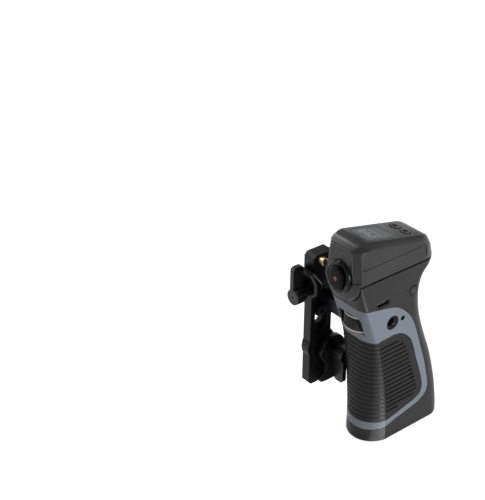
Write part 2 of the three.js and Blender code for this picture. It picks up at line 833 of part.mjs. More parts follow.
// Head housing
function headSection(shares, inset) {
  const [lengthShare, lowShare, highShare, riseShare, bevelShare] = shares;
  const shrunk = (headLength - 2 * inset) / headLength;
  const y = headFront + inset + lengthShare * headLength * shrunk;
  const low = lowShare * headHalfWidth - inset;
  const high = Math.max(highShare * headHalfWidth - inset, seatGap);
  const top = gripHeight + riseShare * headRise - inset;
  const bevel = Math.min(bevelShare * noseChamfer, high * 0.9);
  const floor = inset > 0 ? gripHeight - cutOverrun : gripHeight;
  return [
    [-low, floor], [low, floor], [high, top - bevel], [high - bevel, top],
    [bevel - high, top], [-high, top - bevel],
  ].map(([x, z]) => new THREE.Vector3(x, y, z));
}

function headForm(inset) {
  return loft(headStationShares.map((shares) => headSection(shares, inset)).reverse());
}

// Places something made on a level plane onto the sloping top of the head: there +Y runs
// back down the slope from the top's front edge and zero is the top surface
function onTop() {
  const matrix = new THREE.Matrix4().makeRotationX(THREE.MathUtils.degToRad(-headTopSlope));
  return matrix.setPosition(0, headTopFrontY, gripHeight + headRise);
}

function displayOutline(grow) {
  return roundedRectangle(
    -displayWidth / 2 - grow, displayWidth / 2 + grow,
    displayCentre - displayLength / 2 - grow, displayCentre + displayLength / 2 + grow,
    displayRounding);
}

function topCuts() {
  const glassSeat = alongZ(
    displayOutline(seatGap), -displayGlassThickness - seatGap, cutOverrun);
  const view = alongZ(displayOutline(-displayLedge), -2 * headWall, cutOverrun);
  let cuts = glassSeat.add(view);
  [-1, 1].forEach((side) => {
    const hole = circle(side * keySpacing / 2, keyPlace, keyRadius + runningGap);
    cuts = cuts.add(alongZ(hole, -2 * headWall, cutOverrun));
  });
  return moved(cuts, onTop());
}

function headHousing() {
  let solid = headForm(0).add(nose(0, headFront, headFront + noseDepth));
  const noseInside = nose(-headWall, headFront + headWall, headFront + noseDepth + cutOverrun);
  solid = solid.subtract(headForm(headWall)).subtract(noseInside);
  solid = solid.subtract(topCuts());
  const buttonHole = uprightStadium(
    recordHeight, recordCapWidth + 2 * recordCapGap, recordCapHeight + 2 * recordCapGap);
  solid = solid.subtract(alongY(buttonHole, headFront - cutOverrun, headFront + 2 * headWall));
  return meshFrom('head_housing', solid, darkPlastic());
}

function recordBezel() {
  const middle = (2 * recordHeight + seatGap) / 2;
  const rings = [
    ellipse(middle, bezelHalfWidth - bezelTaper, bezelHalfHeight - bezelTaper),
    ellipse(middle, bezelHalfWidth, bezelHalfHeight),
  ];
  const places = [headFront - bezelProud, headFront];
  const body = loft(rings.map((ring, place) => (
    ring.map(([x, z]) => new THREE.Vector3(x, places[place], z)))));
  const hole = uprightStadium(
    recordHeight, recordCapWidth + 2 * recordCapGap, recordCapHeight + 2 * recordCapGap);
  const solid = body.subtract(
    alongY(hole, headFront - cutOverrun, headFront + cutOverrun));
  return meshFrom('record_bezel', solid, darkPlastic());
}

const recordFlangeY = headFront + headWall + seatGap;
const recordSwitchY = recordFlangeY + recordFlangeThickness + recordTravel + seatGap;

function recordButton() {
  const outline = uprightStadium(recordHeight, recordCapWidth, recordCapHeight);
  const flangeOutline = uprightStadium(
    recordHeight, recordCapWidth + 2 * recordFlangeLap, recordCapHeight + 2 * recordFlangeLap);
  const cap = alongY(outline, headFront - recordProud, recordFlangeY + recordFlangeThickness);
  const flange = alongY(flangeOutline, recordFlangeY, recordFlangeY + recordFlangeThickness);
  return meshFrom('record_button', cap.add(flange), blackPlastic());
}

function recordSwitch() {
  const outline = rectangle(
    -noseRadius, noseRadius, recordHeight - recordSwitchHeight / 2,
    recordHeight + recordSwitchHeight / 2);
  const block = alongY(outline, recordSwitchY, recordSwitchY + recordSwitchDepth);
  const room = headForm(headWall + seatGap)
    .add(nose(-headWall - seatGap, headFront + headWall, recordSwitchY + 2 * recordSwitchDepth));
  return meshFrom('record_switch', block.intersect(room), blackPlastic());
}

// Display and keys on top
function displayGlass() {
  const solid = moved(alongZ(displayOutline(0), -displayGlassThickness, 0), onTop());
  return meshFrom('display_glass', solid, darkGlass());
}

function displayModule() {
  const top = -headWall - seatGap;
  const outline = displayOutline(displayLedge / 2);
  const slab = moved(alongZ(outline, top - displayModuleThickness, top), onTop());
  return meshFrom('display_module', slab.intersect(headForm(headWall + seatGap)), blackPlastic());
}

function topBoard() {
  const slab = moved(alongZ(
    rectangle(-headHalfWidth, headHalfWidth, topBoardStart, topBoardStart + topBoardLength),
    -topBoardDepth - boardThickness, -topBoardDepth), onTop());
  let solid = slab.intersect(headForm(headWall + seatGap));
  [-1, 1].forEach((side) => {
    const switchTop = -headWall - seatGap - keyFlangeThickness - keyTravel - seatGap;
    const bump = circle(side * keySpacing / 2, keyPlace, keySwitchRadius, smallRoundSteps);
    solid = solid.add(moved(
      alongZ(bump, -topBoardDepth - boardThickness / 2, switchTop), onTop()));
  });
  return meshFrom('top_board', solid, circuitBoard());
}

function topKey(name, side) {
  const flangeTop = -headWall - seatGap;
  const dishRadius = keyRadius * 0.8;
  const solid = turned([
    [0, flangeTop - keyFlangeThickness], [keyRadius + keyFlangeLap, flangeTop - keyFlangeThickness],
    [keyRadius + keyFlangeLap, flangeTop], [keyRadius, flangeTop], [keyRadius, keyProud],
    [dishRadius, keyProud], [dishRadius / 2, keyProud - keyDishDepth * 0.8],
    [0, keyProud - keyDishDepth],
  ]);
  const place = new THREE.Matrix4().makeTranslation(side * keySpacing / 2, keyPlace, 0);
  return meshFrom(name, moved(moved(solid, place), onTop()), blackPlastic());
}

// Charging socket, lights and power key on the outer side
const portWallInside = portRowX - shellWall - 2 * runningGap;

function usbReceptacle() {
  const front = portRowX - usbWall;
  const back = front - usbDepth;
  const can = alongX(usbOutline(0), back, front);
  const mouth = alongX(usbOutline(-usbWall), back + usbBackThickness, front + cutOverrun);
  const tongue = alongX(
    rectangle(
      usbY - usbTongueWidth / 2, usbY + usbTongueWidth / 2,
      portRowHeight - usbTongueThickness / 2, portRowHeight + usbTongueThickness / 2),
    back + usbBackThickness / 2, back + usbBackThickness + usbTongueLength);
  return meshFrom('usb_receptacle', can.subtract(mouth).add(tongue), brightSteel());
}

function lightPipe() {
  const places = lightPlaces();
  let solid = alongX(rectangle(
    places[0] - lightBarHeight / 2, places[lightCount - 1] + lightBarHeight / 2,
    lightHeight - lightBarHeight / 2, lightHeight + lightBarHeight / 2,
  ), portWallInside - lightBarThickness, portWallInside);
  places.forEach((y) => {
    const rod = circle(y, lightHeight, lightRadius, smallRoundSteps / 2);
    solid = solid.add(alongX(rod, portWallInside - lightBarThickness / 2, portRowX - seatGap));
  });
  return meshFrom('light_pipe', solid, lightGuide());
}

function powerKey() {
  const flangeFront = portWallInside - seatGap;
  const cap = alongX(
    circle(powerY, portRowHeight, powerRadius), flangeFront - powerFlangeThickness,
    portRowX + powerProud);
  const flange = alongX(
    circle(powerY, portRowHeight, powerRadius + powerFlangeLap),
    flangeFront - powerFlangeThickness, flangeFront);
  return meshFrom('power_key', cap.add(flange), blackPlastic());
}

function mainBoard() {
  const low = wheelHigh + wheelWell + carrierThickness + 2 * seatGap;
  const slab = alongX(
    rectangle(
      mainBoardFrontY, mainBoardFrontY + mainBoardLength, low, portRowHeight + mainBoardRise),
    mainBoardX, mainBoardX + boardThickness);
  return meshFrom('main_board', slab.intersect(gripLining), circuitBoard());
}

// Threaded inserts
function mountInsert(name, side) {
  const faceX = side * (gripHalfWidth - insertCounterbore);
  const backX = side * (gripHalfWidth - insertCounterbore - insertDepth);
  const ring = circle(mountY, mountHeight, insertRadius);
  const bore = circle(mountY, mountHeight, insertBore);
  const fromX = Math.min(faceX, backX);
  const toX = Math.max(faceX, backX);
  const solid = alongX(ring, fromX, toX).subtract(
    alongX(bore, fromX - cutOverrun, toX + cutOverrun));
  return meshFrom(name, solid, brightSteel());
}

// Thumb wheel
const wheelLow = wheelCentreZ - wheelHeight / 2;
const wheelHigh = wheelCentreZ + wheelHeight / 2;

function wheelCore() {
  const teeth = circle(0, wheelCentreY, wheelRadius - wheelBandInset, knurlCount * 2).map(
    ([x, y], place) => {
      const pull = place % 2 === 0 ? 1 : 1 - knurlDepth / wheelRadius;
      return [x * pull, wheelCentreY + (y - wheelCentreY) * pull];
    });
  const band = alongZ(teeth, wheelLow + wheelRingHeight, wheelHigh - wheelRingHeight);
  const boss = alongZ(circle(0, wheelCentreY, wheelBossRadius), wheelLow, wheelHigh);
  const bore = alongZ(
    circle(0, wheelCentreY, axleRadius + seatGap, smallRoundSteps),
    wheelLow - cutOverrun, wheelHigh + cutOverrun);
  return meshFrom('wheel_core', band.add(boss).subtract(bore), blackPlastic());
}

function wheelRing(name, fromZ) {
  const inner = wheelRadius - wheelRingWidth;
  const bevel = wheelRingHeight / 4;
  const points = [
    [inner, 0], [wheelRadius - bevel, 0], [wheelRadius, bevel],
    [wheelRadius, wheelRingHeight - bevel], [wheelRadius - bevel, wheelRingHeight],
    [inner, wheelRingHeight], [inner, 0],
  ].map(([radius, height]) => new THREE.Vector2(radius, height));
  const ring = solidFrom(new THREE.LatheGeometry(points, wheelSteps).rotateX(Math.PI / 2));
  return meshFrom(
    name, moved(ring, new THREE.Matrix4().makeTranslation(0, wheelCentreY, fromZ)), champagne());
}

function wheelAxle() {
  const reach = wheelHeight / 2 + wheelWell + carrierThickness;
  const solid = alongZ(
    circle(0, wheelCentreY, axleRadius, smallRoundSteps),
    wheelCentreZ - reach, wheelCentreZ + reach);
  return meshFrom('wheel_axle', solid.intersect(gripLining), brightSteel());
}

function wheelCarrier() {
  const inside = wheelHeight / 2 + wheelWell;
  const outside = inside + carrierThickness;
  const outline = rectangle(-carrierHalfWidth, carrierHalfWidth, carrierFrontY, carrierBackY);
  const block = alongZ(outline, wheelCentreZ - outside, wheelCentreZ + outside);
  const room = alongZ(
    rectangle(
      -2 * carrierHalfWidth, 2 * carrierHalfWidth, carrierFrontY - cutOverrun,
      carrierBackY - carrierThickness),
    wheelCentreZ - inside, wheelCentreZ + inside);
  const bore = alongZ(
    circle(0, wheelCentreY, axleRadius + seatGap, smallRoundSteps),
    wheelCentreZ - 2 * outside, wheelCentreZ + 2 * outside);
  const inserts = mountHoles(1, runningGap).add(mountHoles(-1, runningGap));
  const solid = block.subtract(room).subtract(bore).subtract(inserts);
  return meshFrom('wheel_carrier', solid.intersect(gripLining), blackPlastic());
}

function wheelEncoder() {
  const top = wheelCentreZ - wheelHeight / 2 - wheelWell - carrierThickness;
  const front = wheelCentreY + axleRadius + seatGap;
  const solid = alongZ(
    rectangle(-encoderWidth / 2, encoderWidth / 2, front, front + encoderLength),
    top - encoderHeight, top);
  return meshFrom('wheel_encoder', solid, blackPlastic());
}

// Battery
function cellMatrix() {
  const matrix = new THREE.Matrix4().makeRotationX(THREE.MathUtils.degToRad(cellLean));
  return matrix.setPosition(0, cellFootY, cellFootZ);
}

function batteryCell() {
  const edge = cellRadius * 0.06;
  const solid = turned([
    [0, 0], [cellRadius - edge, 0], [cellRadius, edge], [cellRadius, cellLength - edge],
    [cellRadius - edge, cellLength], [cellTerminalRadius, cellLength],
    [cellTerminalRadius, cellLength + cellTerminalHeight], [0, cellLength + cellTerminalHeight],
  ]);
  return meshFrom('battery_cell', moved(solid, cellMatrix()), cellWrap());
}

function batteryCradle() {
  const low = baseCapHeight + baseSpigotHeight + seatGap;
  const top = low + cradleRibPitch * (cradleRibCount - 1) + cradleRibThickness;
  let solid = alongZ(
    rectangle(-cradleSpineWidth / 2, cradleSpineWidth / 2, -gripReach, gripReach), low, top);
  solid = solid.subtract(moved(alongZ(
    rectangle(-gripReach, gripReach, -2 * gripReach, 0), -gripReach, 2 * gripHeight),
  cellMatrix()));
  for (let rib = 0; rib < cradleRibCount; rib += 1) {
    const fromZ = low + rib * cradleRibPitch;
    solid = solid.add(layer(fromZ, fromZ + cradleRibThickness));
  }
  const room = alongZ(circle(0, 0, cellRadius + seatGap), -gripReach, gripHeight);
  solid = solid.intersect(gripLining).subtract(moved(room, cellMatrix()));
  const footSeat = cellFootZ - cellRadius * Math.sin(THREE.MathUtils.degToRad(cellLean));
  const seat = layer(low, Math.max(footSeat - seatGap, low + seatGap)).intersect(gripLining);
  solid = solid.add(seat);
  baseScrewPlaces().forEach((y) => {
    const hole = circle(0, y, closingScrewShank + seatGap / 2, smallRoundSteps);
    solid = solid.subtract(alongZ(hole, 0, closingScrewLength + seatGap));
  });
  return meshFrom('battery_cradle', solid, blackPlastic());
}

// Neck arm: a pad bolted to the grip's inner side, a beam and a tongue in the upright's slot
const uprightFace = uprightX + uprightThickness;
const clampFaceX = clampZoneX + clampZoneThickness;
const tongueBackX = uprightFace - slotRecess + armTongueGap;
const slotHeadX = tongueBackX + armTongueThickness;

function neckArm() {
  const beam = alongX(
    roundedRectangle(
      armFrontY, armFrontY + armDepth, armTopZ - armHeight, armTopZ, armHeight / 4),
    clampFaceX + armTongueGap, 0);
  const pad = alongX(
    roundedRectangle(
      armFrontY, armFrontY + armPadDepth, armTopZ - armHeight, armPadHighZ,
      armHeight / 4),
    armPadX - armPadThickness, 0);
  const half = slotWidth / 2 - armTongueGap;
  const tongue = alongX([
    ...arc(uprightCentreY, armTongueLowZ + half, half, 180, 360, smallRoundSteps),
    [uprightCentreY + half, armTopZ], [uprightCentreY - half, armTopZ],
  ], tongueBackX, tongueBackX + armTongueThickness);
  const root = alongX(
    rectangle(armFrontY, uprightCentreY + half, armTopZ - armHeight, armTopZ),
    tongueBackX, clampFaceX + 2 * armTongueGap);
  let solid = beam.add(pad).subtract(gripForm(-seatGap)).add(tongue).add(root);
  const screwHole = circle(mountY, mountHeight, armScrewShank + seatGap);
  const pinHole = circle(
    mountY + locatorOffset, mountHeight, armPinRadius + seatGap / 2, smallRoundSteps);
  const tongueHole = circle(uprightCentreY, slotScrewZ, slotScrewShank + seatGap / 2);
  solid = solid.subtract(alongX(screwHole, 2 * armPadX, 0));
  solid = solid.subtract(alongX(pinHole, 2 * armPadX, 0));
  solid = solid.subtract(alongX(tongueHole, 2 * uprightX, uprightFace + cutOverrun));
  const slotHeadRoom = circle(uprightCentreY, slotScrewZ, slotScrewHead + seatGap);
  solid = solid.subtract(alongX(slotHeadRoom, slotHeadX, uprightFace + cutOverrun));
  const headRoom = circle(mountY, mountHeight, armScrewHead + seatGap);
  solid = solid.subtract(alongX(headRoom, 2 * armPadX, armPadX - armPadThickness));
  return meshFrom('neck_arm', solid, blackAnodised());
}

function armScrew() {
  const length = armScrewHeadHeight + armPadThickness + insertDepth;
  const solid = moved(
    screwBody(armScrewHead, armScrewHeadHeight, armScrewShank, length),
    pointingX(armPadX - armPadThickness - armScrewHeadHeight, mountY, mountHeight));
  return meshFrom('arm_screw', solid, brightSteel());
}

function armPin() {
  const solid = alongX(
    circle(mountY + locatorOffset, mountHeight, armPinRadius, smallRoundSteps),
    armPadX - armPadThickness, armPadX + locatorDepth);
  return meshFrom('arm_pin', solid, brightSteel());
}

function slotScrew() {
  const length = slotScrewHeadHeight + slotHeadX - uprightX + slotNutThickness;
  const solid = moved(
    screwBody(slotScrewHead, slotScrewHeadHeight, slotScrewShank, length),
    pointingMinusX(slotHeadX + slotScrewHeadHeight, uprightCentreY, slotScrewZ));
  return meshFrom('slot_screw', solid, brightSteel());
}

function slotNut() {
  const half = slotNutWidth / 2;
  const outline = rectangle(
    uprightCentreY - half, uprightCentreY + half, slotScrewZ - half, slotScrewZ + half);
  const bore = circle(uprightCentreY, slotScrewZ, slotScrewShank + seatGap / 2);
  const solid = alongX(outline, uprightX - seatGap - slotNutThickness, uprightX - seatGap)
    .subtract(alongX(bore, 2 * uprightX, uprightX));
  return meshFrom('slot_nut', solid, brightSteel());
}

// Upright of the bracket with the fixed jaw above and the lower clamp's boss below
function hookOutline(side) {
  const backX = clampZoneX;
  const wide = railCentreY + side * railHalfWidth;
  const tight = wide - side * railUndercut;
  const outer = wide + side * hookThickness;
  return [
    [uprightFace, wide], [uprightFace, outer], [backX - railDepth, outer],
    [backX - railDepth, tight], [backX - railLip, wide],
  ];
}

function slotCut() {
  const half = slotWidth / 2;
  const recess = alongX([
    ...arc(uprightCentreY, slotLowZ + half, half, 180, 360, smallRoundSteps),
    [uprightCentreY + half, slotHighZ], [uprightCentreY - half, slotHighZ],
  ], uprightFace - slotRecess, uprightFace + cutOverrun);
  const through = alongX(
    roundedRectangle(
      uprightCentreY - slotThroughWidth / 2, uprightCentreY + slotThroughWidth / 2,
      slotThroughLowZ, slotThroughLowZ + slotThroughLength, slotThroughWidth * 0.48),
    2 * uprightX, uprightFace);
  return recess.add(through);
}

function upright() {
  const frontY = uprightCentreY - uprightWidth / 2;
  const backY = uprightCentreY + uprightWidth / 2;
  const plate = alongX(
    bevelledRectangle(frontY, backY, uprightFootZ, uprightTopZ, uprightBevel),
    uprightX, uprightFace);
  const clampZone = alongX(
    bevelledRectangle(frontY, backY, clampZoneZ, uprightTopZ, uprightBevel),
    clampZoneX, clampZoneX + clampZoneThickness);
  const rearHook = alongZ(hookOutline(1), hookLowZ, hookHighZ);
  const bridge = alongZ(
    rectangle(clampZoneX, uprightFace, backY - uprightBevel * 2,
      railCentreY + railHalfWidth + hookThickness),
    hookLowZ, hookHighZ);
  const boss = alongX(circle(bossY, bossZ, bossRadius), uprightX, uprightFace);
  const foot = alongX(
    bevelledRectangle(
      lowerScrewY - bossRadius, bossY + bossRadius, uprightFootZ, bossZ, uprightBevel),
    uprightX - footBlockThickness, uprightFace);
  let solid = plate.add(clampZone).add(bridge).add(rearHook).add(boss).add(foot);
  const screwHole = circle(upperScrewX, upperScrewZ, screwRadius + seatGap, smallRoundSteps);
  solid = solid.subtract(alongY(screwHole, -2 * gripReach, backY - uprightBevel));
  const lowerHole = circle(
    lowerScrewY, lowerScrewZ, screwRadius + seatGap, smallRoundSteps);
  solid = solid.subtract(alongX(lowerHole, 2 * uprightX, 0));
  const pinHole = circle(pinY, pinZ, pinRadius + seatGap, smallRoundSteps);
  solid = solid.subtract(alongX(
    pinHole, clampFaceX - pinDepth - pinTravel, clampFaceX + cutOverrun));
  return meshFrom('upright', solid.subtract(slotCut()), blackAnodised());
}

// Upper jaw, which slides along Y
const jawFrontY = railCentreY - railHalfWidth - hookThickness;
const uprightFrontY = uprightCentreY - uprightWidth / 2;

// The cheek that faces the grip, bevelled all round its outer face
function upperCheek() {
  const waistY = jawFrontY + cheekSetBack;
  const shoulderZ = cheekLowZ + cheekShoulder;
  const outline = [
    [waistY, shoulderZ], [waistY, cheekLowZ], [jawFrontY + cheekReach, cheekLowZ],
    [jawFrontY + cheekReach, shoulderZ], [jawFrontY + cheekTopWidth, jawHighZ],
    [jawFrontY, jawHighZ],
  ];
  const smaller = offsetOutline(outline, -cheekBevel);
  const cheekX = clampFaceX + jawClearance;
  const ring = (points, x) => points.map(([y, z]) => new THREE.Vector3(x, y, z));
  return {
    plate: loft([
      ring(outline, cheekX), ring(outline, cheekX + cheekThickness - cheekBevel),
      ring(smaller, cheekX + cheekThickness),
    ]),
    block: alongX(outline, clampZoneX, cheekX + cheekThickness / 2),
  };
}

function upperJaw() {
  const backX = clampZoneX - railDepth;
  const back = alongX(
    bevelledRectangle(
      jawFrontY, uprightFrontY - jawClearance, jawLowZ, jawHighZ - jawBackDrop, jawBevel),
    backX, backX + jawBackWidth);
  const cheek = upperCheek();
  const uprightRoom = alongX(
    rectangle(uprightFrontY - jawClearance, 0, 0, 2 * gripHeight),
    2 * uprightX, clampFaceX + jawClearance);
  const rail = alongZ([
    [clampZoneX, 0], [clampZoneX, railCentreY - railHalfWidth],
    [clampZoneX - railLip, railCentreY - railHalfWidth],
    [clampZoneX - railDepth, railCentreY - railHalfWidth + railUndercut],
    [clampZoneX - 2 * railDepth, railCentreY - railHalfWidth + railUndercut],
    [clampZoneX - 2 * railDepth, 0],
  ], 0, 2 * gripHeight);
  const hookTrim = alongX(
    rectangle(-2 * gripReach, 0, 0, hookLowZ), clampZoneX - 2 * railDepth,
    clampZoneX - jawClearance);
  let solid = back.add(cheek.block).add(cheek.plate);
  solid = solid.subtract(uprightRoom).subtract(rail).subtract(hookTrim);
  const screwHole = circle(upperScrewX, upperScrewZ, screwRadius + seatGap, smallRoundSteps);
  solid = solid.subtract(alongY(screwHole, -2 * gripReach, 0));
  return meshFrom('upper_jaw', solid, blackAnodised());
}

// Clamp screw and lever, made along +Z with the hub's outer face at zero
function clampScrewSolid(length) {
  return turned([
    [0, -hubLength / 2], [screwRadius, -hubLength / 2], [screwRadius, -hubLength - length],
    [0, -hubLength - length],
  ], smallRoundSteps);
}

function leverSolid(collarLength) {
  const flutes = circle(0, 0, hubRadius, hubFluteCount * flutePoints).map(([x, y], place) => {
    const pull = place % flutePoints < flutePoints / 2 ? 1 : 1 - hubFluteDepth / hubRadius;
    return [x * pull, y * pull];
  });
  const hub = alongZ(flutes, -hubLength, -hubLength / 4);
  const cap = alongZ(circle(0, 0, hubRadius), -hubLength / 4, 0);
  const collar = alongZ(circle(0, 0, collarRadius), -hubLength - collarLength, -hubLength);
  const paddle = alongY(
    [
      [leverOffset - leverThickness / 2, 0], [leverOffset + leverThickness / 2, 0],
      [leverOffset + leverThickness / 2, -leverWidth],
      [leverOffset - leverThickness / 2, -leverWidth],
    ], 0, leverReach);
  const trim = alongX(
    roundedRectangle(-leverRounding * 2, leverReach, -leverWidth, 0, leverRounding),
    leverOffset - leverThickness, leverOffset + leverThickness);
  return hub.add(cap).add(collar).add(paddle.intersect(trim));
}

function leverBores(length) {
  const screw = circle(0, 0, screwRadius + seatGap / 2, smallRoundSteps);
  const head = circle(0, 0, leverScrewHead + seatGap / 2, smallRoundSteps);
  return alongZ(screw, -length, -hubLength / 2 + seatGap).add(
    alongZ(head, -leverScrewHeadHeight, cutOverrun)).add(
    alongZ(circle(0, 0, leverScrewHead / 2 + seatGap / 2, smallRoundSteps), -hubLength, 0));
}

function leverScrewSolid() {
  return moved(
    screwBody(leverScrewHead, leverScrewHeadHeight, leverScrewHead / 2,
      hubLength / 2 - seatGap),
    new THREE.Matrix4().makeRotationX(Math.PI));
}

// The upper lever stands up, its hub's outer face forward
const upperHubFaceY = jawFrontY + cheekSetBack - seatGap - upperCollarLength - hubLength;

function upperLeverMatrix() {
  const matrix = new THREE.Matrix4().makeBasis(axisX.clone().negate(), axisZ, minusY.clone());
  return matrix.setPosition(upperScrewX, upperHubFaceY, upperScrewZ);
}

// The lower lever hangs down, its hub's outer face toward the grip
const lowerJawX = uprightFace + lowerJawGap;
const lowerHubFaceX = lowerJawX + lowerJawThickness + seatGap + lowerCollarLength + hubLength;

function lowerLeverMatrix() {
  const matrix = new THREE.Matrix4().makeBasis(minusY.clone(), axisZ.clone().negate(), axisX);
  return matrix.setPosition(lowerHubFaceX, lowerScrewY, lowerScrewZ);
}

function lever(name, matrix, collarLength) {
  const solid = leverSolid(collarLength).subtract(leverBores(hubLength + 2 * collarLength));
  return meshFrom(name, moved(solid, matrix), blackAnodised());
}

function clampScrew(name, matrix, length) {
  return meshFrom(name, moved(clampScrewSolid(length), matrix), brightSteel());
}

function leverScrew(name, matrix) {
  return meshFrom(name, moved(leverScrewSolid(), matrix), brightSteel());
}

// Spring lock pin
function lockPin() {
  const solid = moved(turned([
    [0, -pinDepth], [pinRadius, -pinDepth], [pinRadius, pinNeckLength],
    [pinKnobRadius * 0.8, pinNeckLength], [pinKnobRadius, pinNeckLength + pinKnobRadius * 0.2],
    [pinKnobRadius, pinNeckLength + pinKnobLength - pinKnobRadius * 0.2],
    [pinKnobRadius * 0.8, pinNeckLength + pinKnobLength], [0, pinNeckLength + pinKnobLength],
  ]), pointingX(clampFaceX, pinY, pinZ));
  return meshFrom('lock_pin', solid, brass());
}

// Lower jaw: an S-shaped plate in front of the upright's boss
const lowerJawFrontY = lowerScrewY - lowerJawLead;

function lowerJaw() {
  const points = lowerJawOutlineShares.map(([backShare, dropShare]) => [
    lowerJawFrontY + backShare * lowerJawWidth, lowerJawHighZ - dropShare * lowerJawHeight,
  ]);
  const curved = smoothOutline([...points, points[0]], jawOutlineSteps).slice(0, -1);
  const plate = alongX(curved, lowerJawX, lowerJawX + lowerJawThickness);
  const hole = circle(lowerScrewY, lowerScrewZ, screwRadius + seatGap, smallRoundSteps);
  return meshFrom('lower_jaw', plate.subtract(alongX(hole, uprightX, 0)), blackAnodised());
}

// Assembly
const part = new THREE.Group();
const [baseScrewFront, baseScrewBack] = baseScrewPlaces();
const upperScrewLength = upperCollarLength + uprightWidth * 0.8;
const lowerScrewLength = lowerHubFaceX - hubLength - uprightX;
part.add(
  shellOuter(), shellInner(), sideFrame(), rubberPanel(), baseCap(),
  baseScrew('base_screw_front', baseScrewFront), baseScrew('base_screw_back', baseScrewBack),
  headHousing(), recordBezel(), recordButton(), recordSwitch(),
  displayGlass(), displayModule(), topBoard(), topKey('key_inner', -1), topKey('key_outer', 1),
  usbReceptacle(), lightPipe(), powerKey(), mainBoard(),
  mountInsert('insert_outer', 1), mountInsert('insert_inner', -1),
  wheelCore(), wheelRing('wheel_ring_lower', wheelLow),
  wheelRing('wheel_ring_upper', wheelHigh - wheelRingHeight), wheelAxle(), wheelCarrier(),
  wheelEncoder(), batteryCell(), batteryCradle(),
  neckArm(), armScrew(), armPin(), slotScrew(), slotNut(),
  upright(), upperJaw(), clampScrew('upper_clamp_screw', upperLeverMatrix(), upperScrewLength),
  lever('upper_lever', upperLeverMatrix(), upperCollarLength),
  leverScrew('upper_lever_screw', upperLeverMatrix()),
  lockPin(), lowerJaw(), clampScrew('lower_clamp_screw', lowerLeverMatrix(), lowerScrewLength),
  lever('lower_lever', lowerLeverMatrix(), lowerCollarLength),
  leverScrew('lower_lever_screw', lowerLeverMatrix()),
);

export default part;
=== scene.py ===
"""Camera handgrip with a thumb wheel and a clamping side bracket: the looks around the CAD frame."""
import json
import math

import bmesh
import bpy
from mathutils import Matrix, Vector


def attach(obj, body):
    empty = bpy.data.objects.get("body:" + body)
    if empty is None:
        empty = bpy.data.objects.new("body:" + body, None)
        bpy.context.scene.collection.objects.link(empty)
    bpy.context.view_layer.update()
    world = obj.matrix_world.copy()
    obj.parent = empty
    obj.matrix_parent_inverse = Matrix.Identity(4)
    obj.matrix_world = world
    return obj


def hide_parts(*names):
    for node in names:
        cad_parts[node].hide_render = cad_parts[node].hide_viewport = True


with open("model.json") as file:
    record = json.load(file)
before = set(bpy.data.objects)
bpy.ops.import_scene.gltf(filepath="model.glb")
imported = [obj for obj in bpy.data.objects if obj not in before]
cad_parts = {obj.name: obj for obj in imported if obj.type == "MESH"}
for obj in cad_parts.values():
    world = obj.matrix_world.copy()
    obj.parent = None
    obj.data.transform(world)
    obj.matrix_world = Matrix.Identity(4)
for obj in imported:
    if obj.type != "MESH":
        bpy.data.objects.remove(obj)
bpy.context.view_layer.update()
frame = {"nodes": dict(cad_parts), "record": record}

MM = 0.001

# ---------------------------------------------------------------- sizes shared with the CAD, mm
GRIP_HEIGHT, GRIP_HALF = 114.0, 14.2
SKIN, GAP, WALL = 1.6, 0.3, 3.4
HEAD_FRONT, HEAD_LENGTH, HEAD_HALF, HEAD_RISE, HEAD_WALL = -51.2, 59.9, 14.2, 22.6, 2.2
HEAD_TOP_Y, HEAD_SLOPE = -41.3, 12.8
NOSE_R, NOSE_CHAMFER, NOSE_DEPTH, NOSE_LAP, NOSE_GAP = 13.6, 3.2, 9.8, 1.4, 0.45
REC_Z, REC_W, REC_H, REC_ROOM = 115.0, 10.2, 14.0, 1.0
KEY_X, KEY_V, KEY_HOLE_R = 3.85, 33.8, 3.35
WHEEL_Y, WHEEL_Z, WHEEL_R, WHEEL_H, BOSS_R = -32.8, 83.2, 10.4, 9.2, 7.7
WINDOW_HALF, WINDOW_H, WINDOW_R, WHEEL_ROOM = 9.0, 11.0, 2, 1
MOUNT_Y, MOUNT_Z = -23.5, 82.1
LOCATOR_Y, LOCATOR_R = MOUNT_Y + 7.7, 1.45
PORT_Z, USB_Y, LIGHT_Z, POWER_Y, POWER_R = 97.4, -31.9, 97.0, -9.1, 2.8
LIGHT_YS = (-22.25, -18.25, -14.25)
BASE_SCREW_YS, BASE_SCREW_SEAT = (-20.6, 9.4), (2.9, 1.9)
INSERT_R, INSERT_DEPTH = 4.4, 3.6
RIB_LOW, RIB_PITCH, RIB_COUNT = 18.1, 3.1, 18
SLOT_HALF, SLOT_DEPTH, SLOT_MARGIN, WAVE_DEPTH = 0.66, 0.85, 4.3, 0.5

# ---------------------------------------------------------------- sizes of this model alone, mm
RING_H = 0.8
FAR = 50  # a tool that passes right through reaches this far
FOOT_TOP, SHELL_FOOT = 3.96, 4.02
GROOVE_LOW, GROOVE_LIP, GROOVE_HIGH = 0.9, 0.85, 0.1  # of the groove below the head, from the grip's top down
GROOVE_DEPTH = 1.6
PARTING = 0.06  # each shell stops this far from the middle plane
INSERT_SUNK, INSERT_ROOM = 0.6, 0.35
LOCATOR_SEAT_R, LOCATOR_FLOOR = 1.8, 11.2
USB_HOLE_HALF, USB_HOLE_RISE, USB_HOLE_R = 4.95, 2.0, 1.95
POWER_ROOM, LIGHT_HOLE_R = 0.35, 0.62
OUTER_WALL = (6, 30)  # a tool between these places along X cuts the outer side alone
LEAST = 0.3  # the least radius or width that an inset leaves

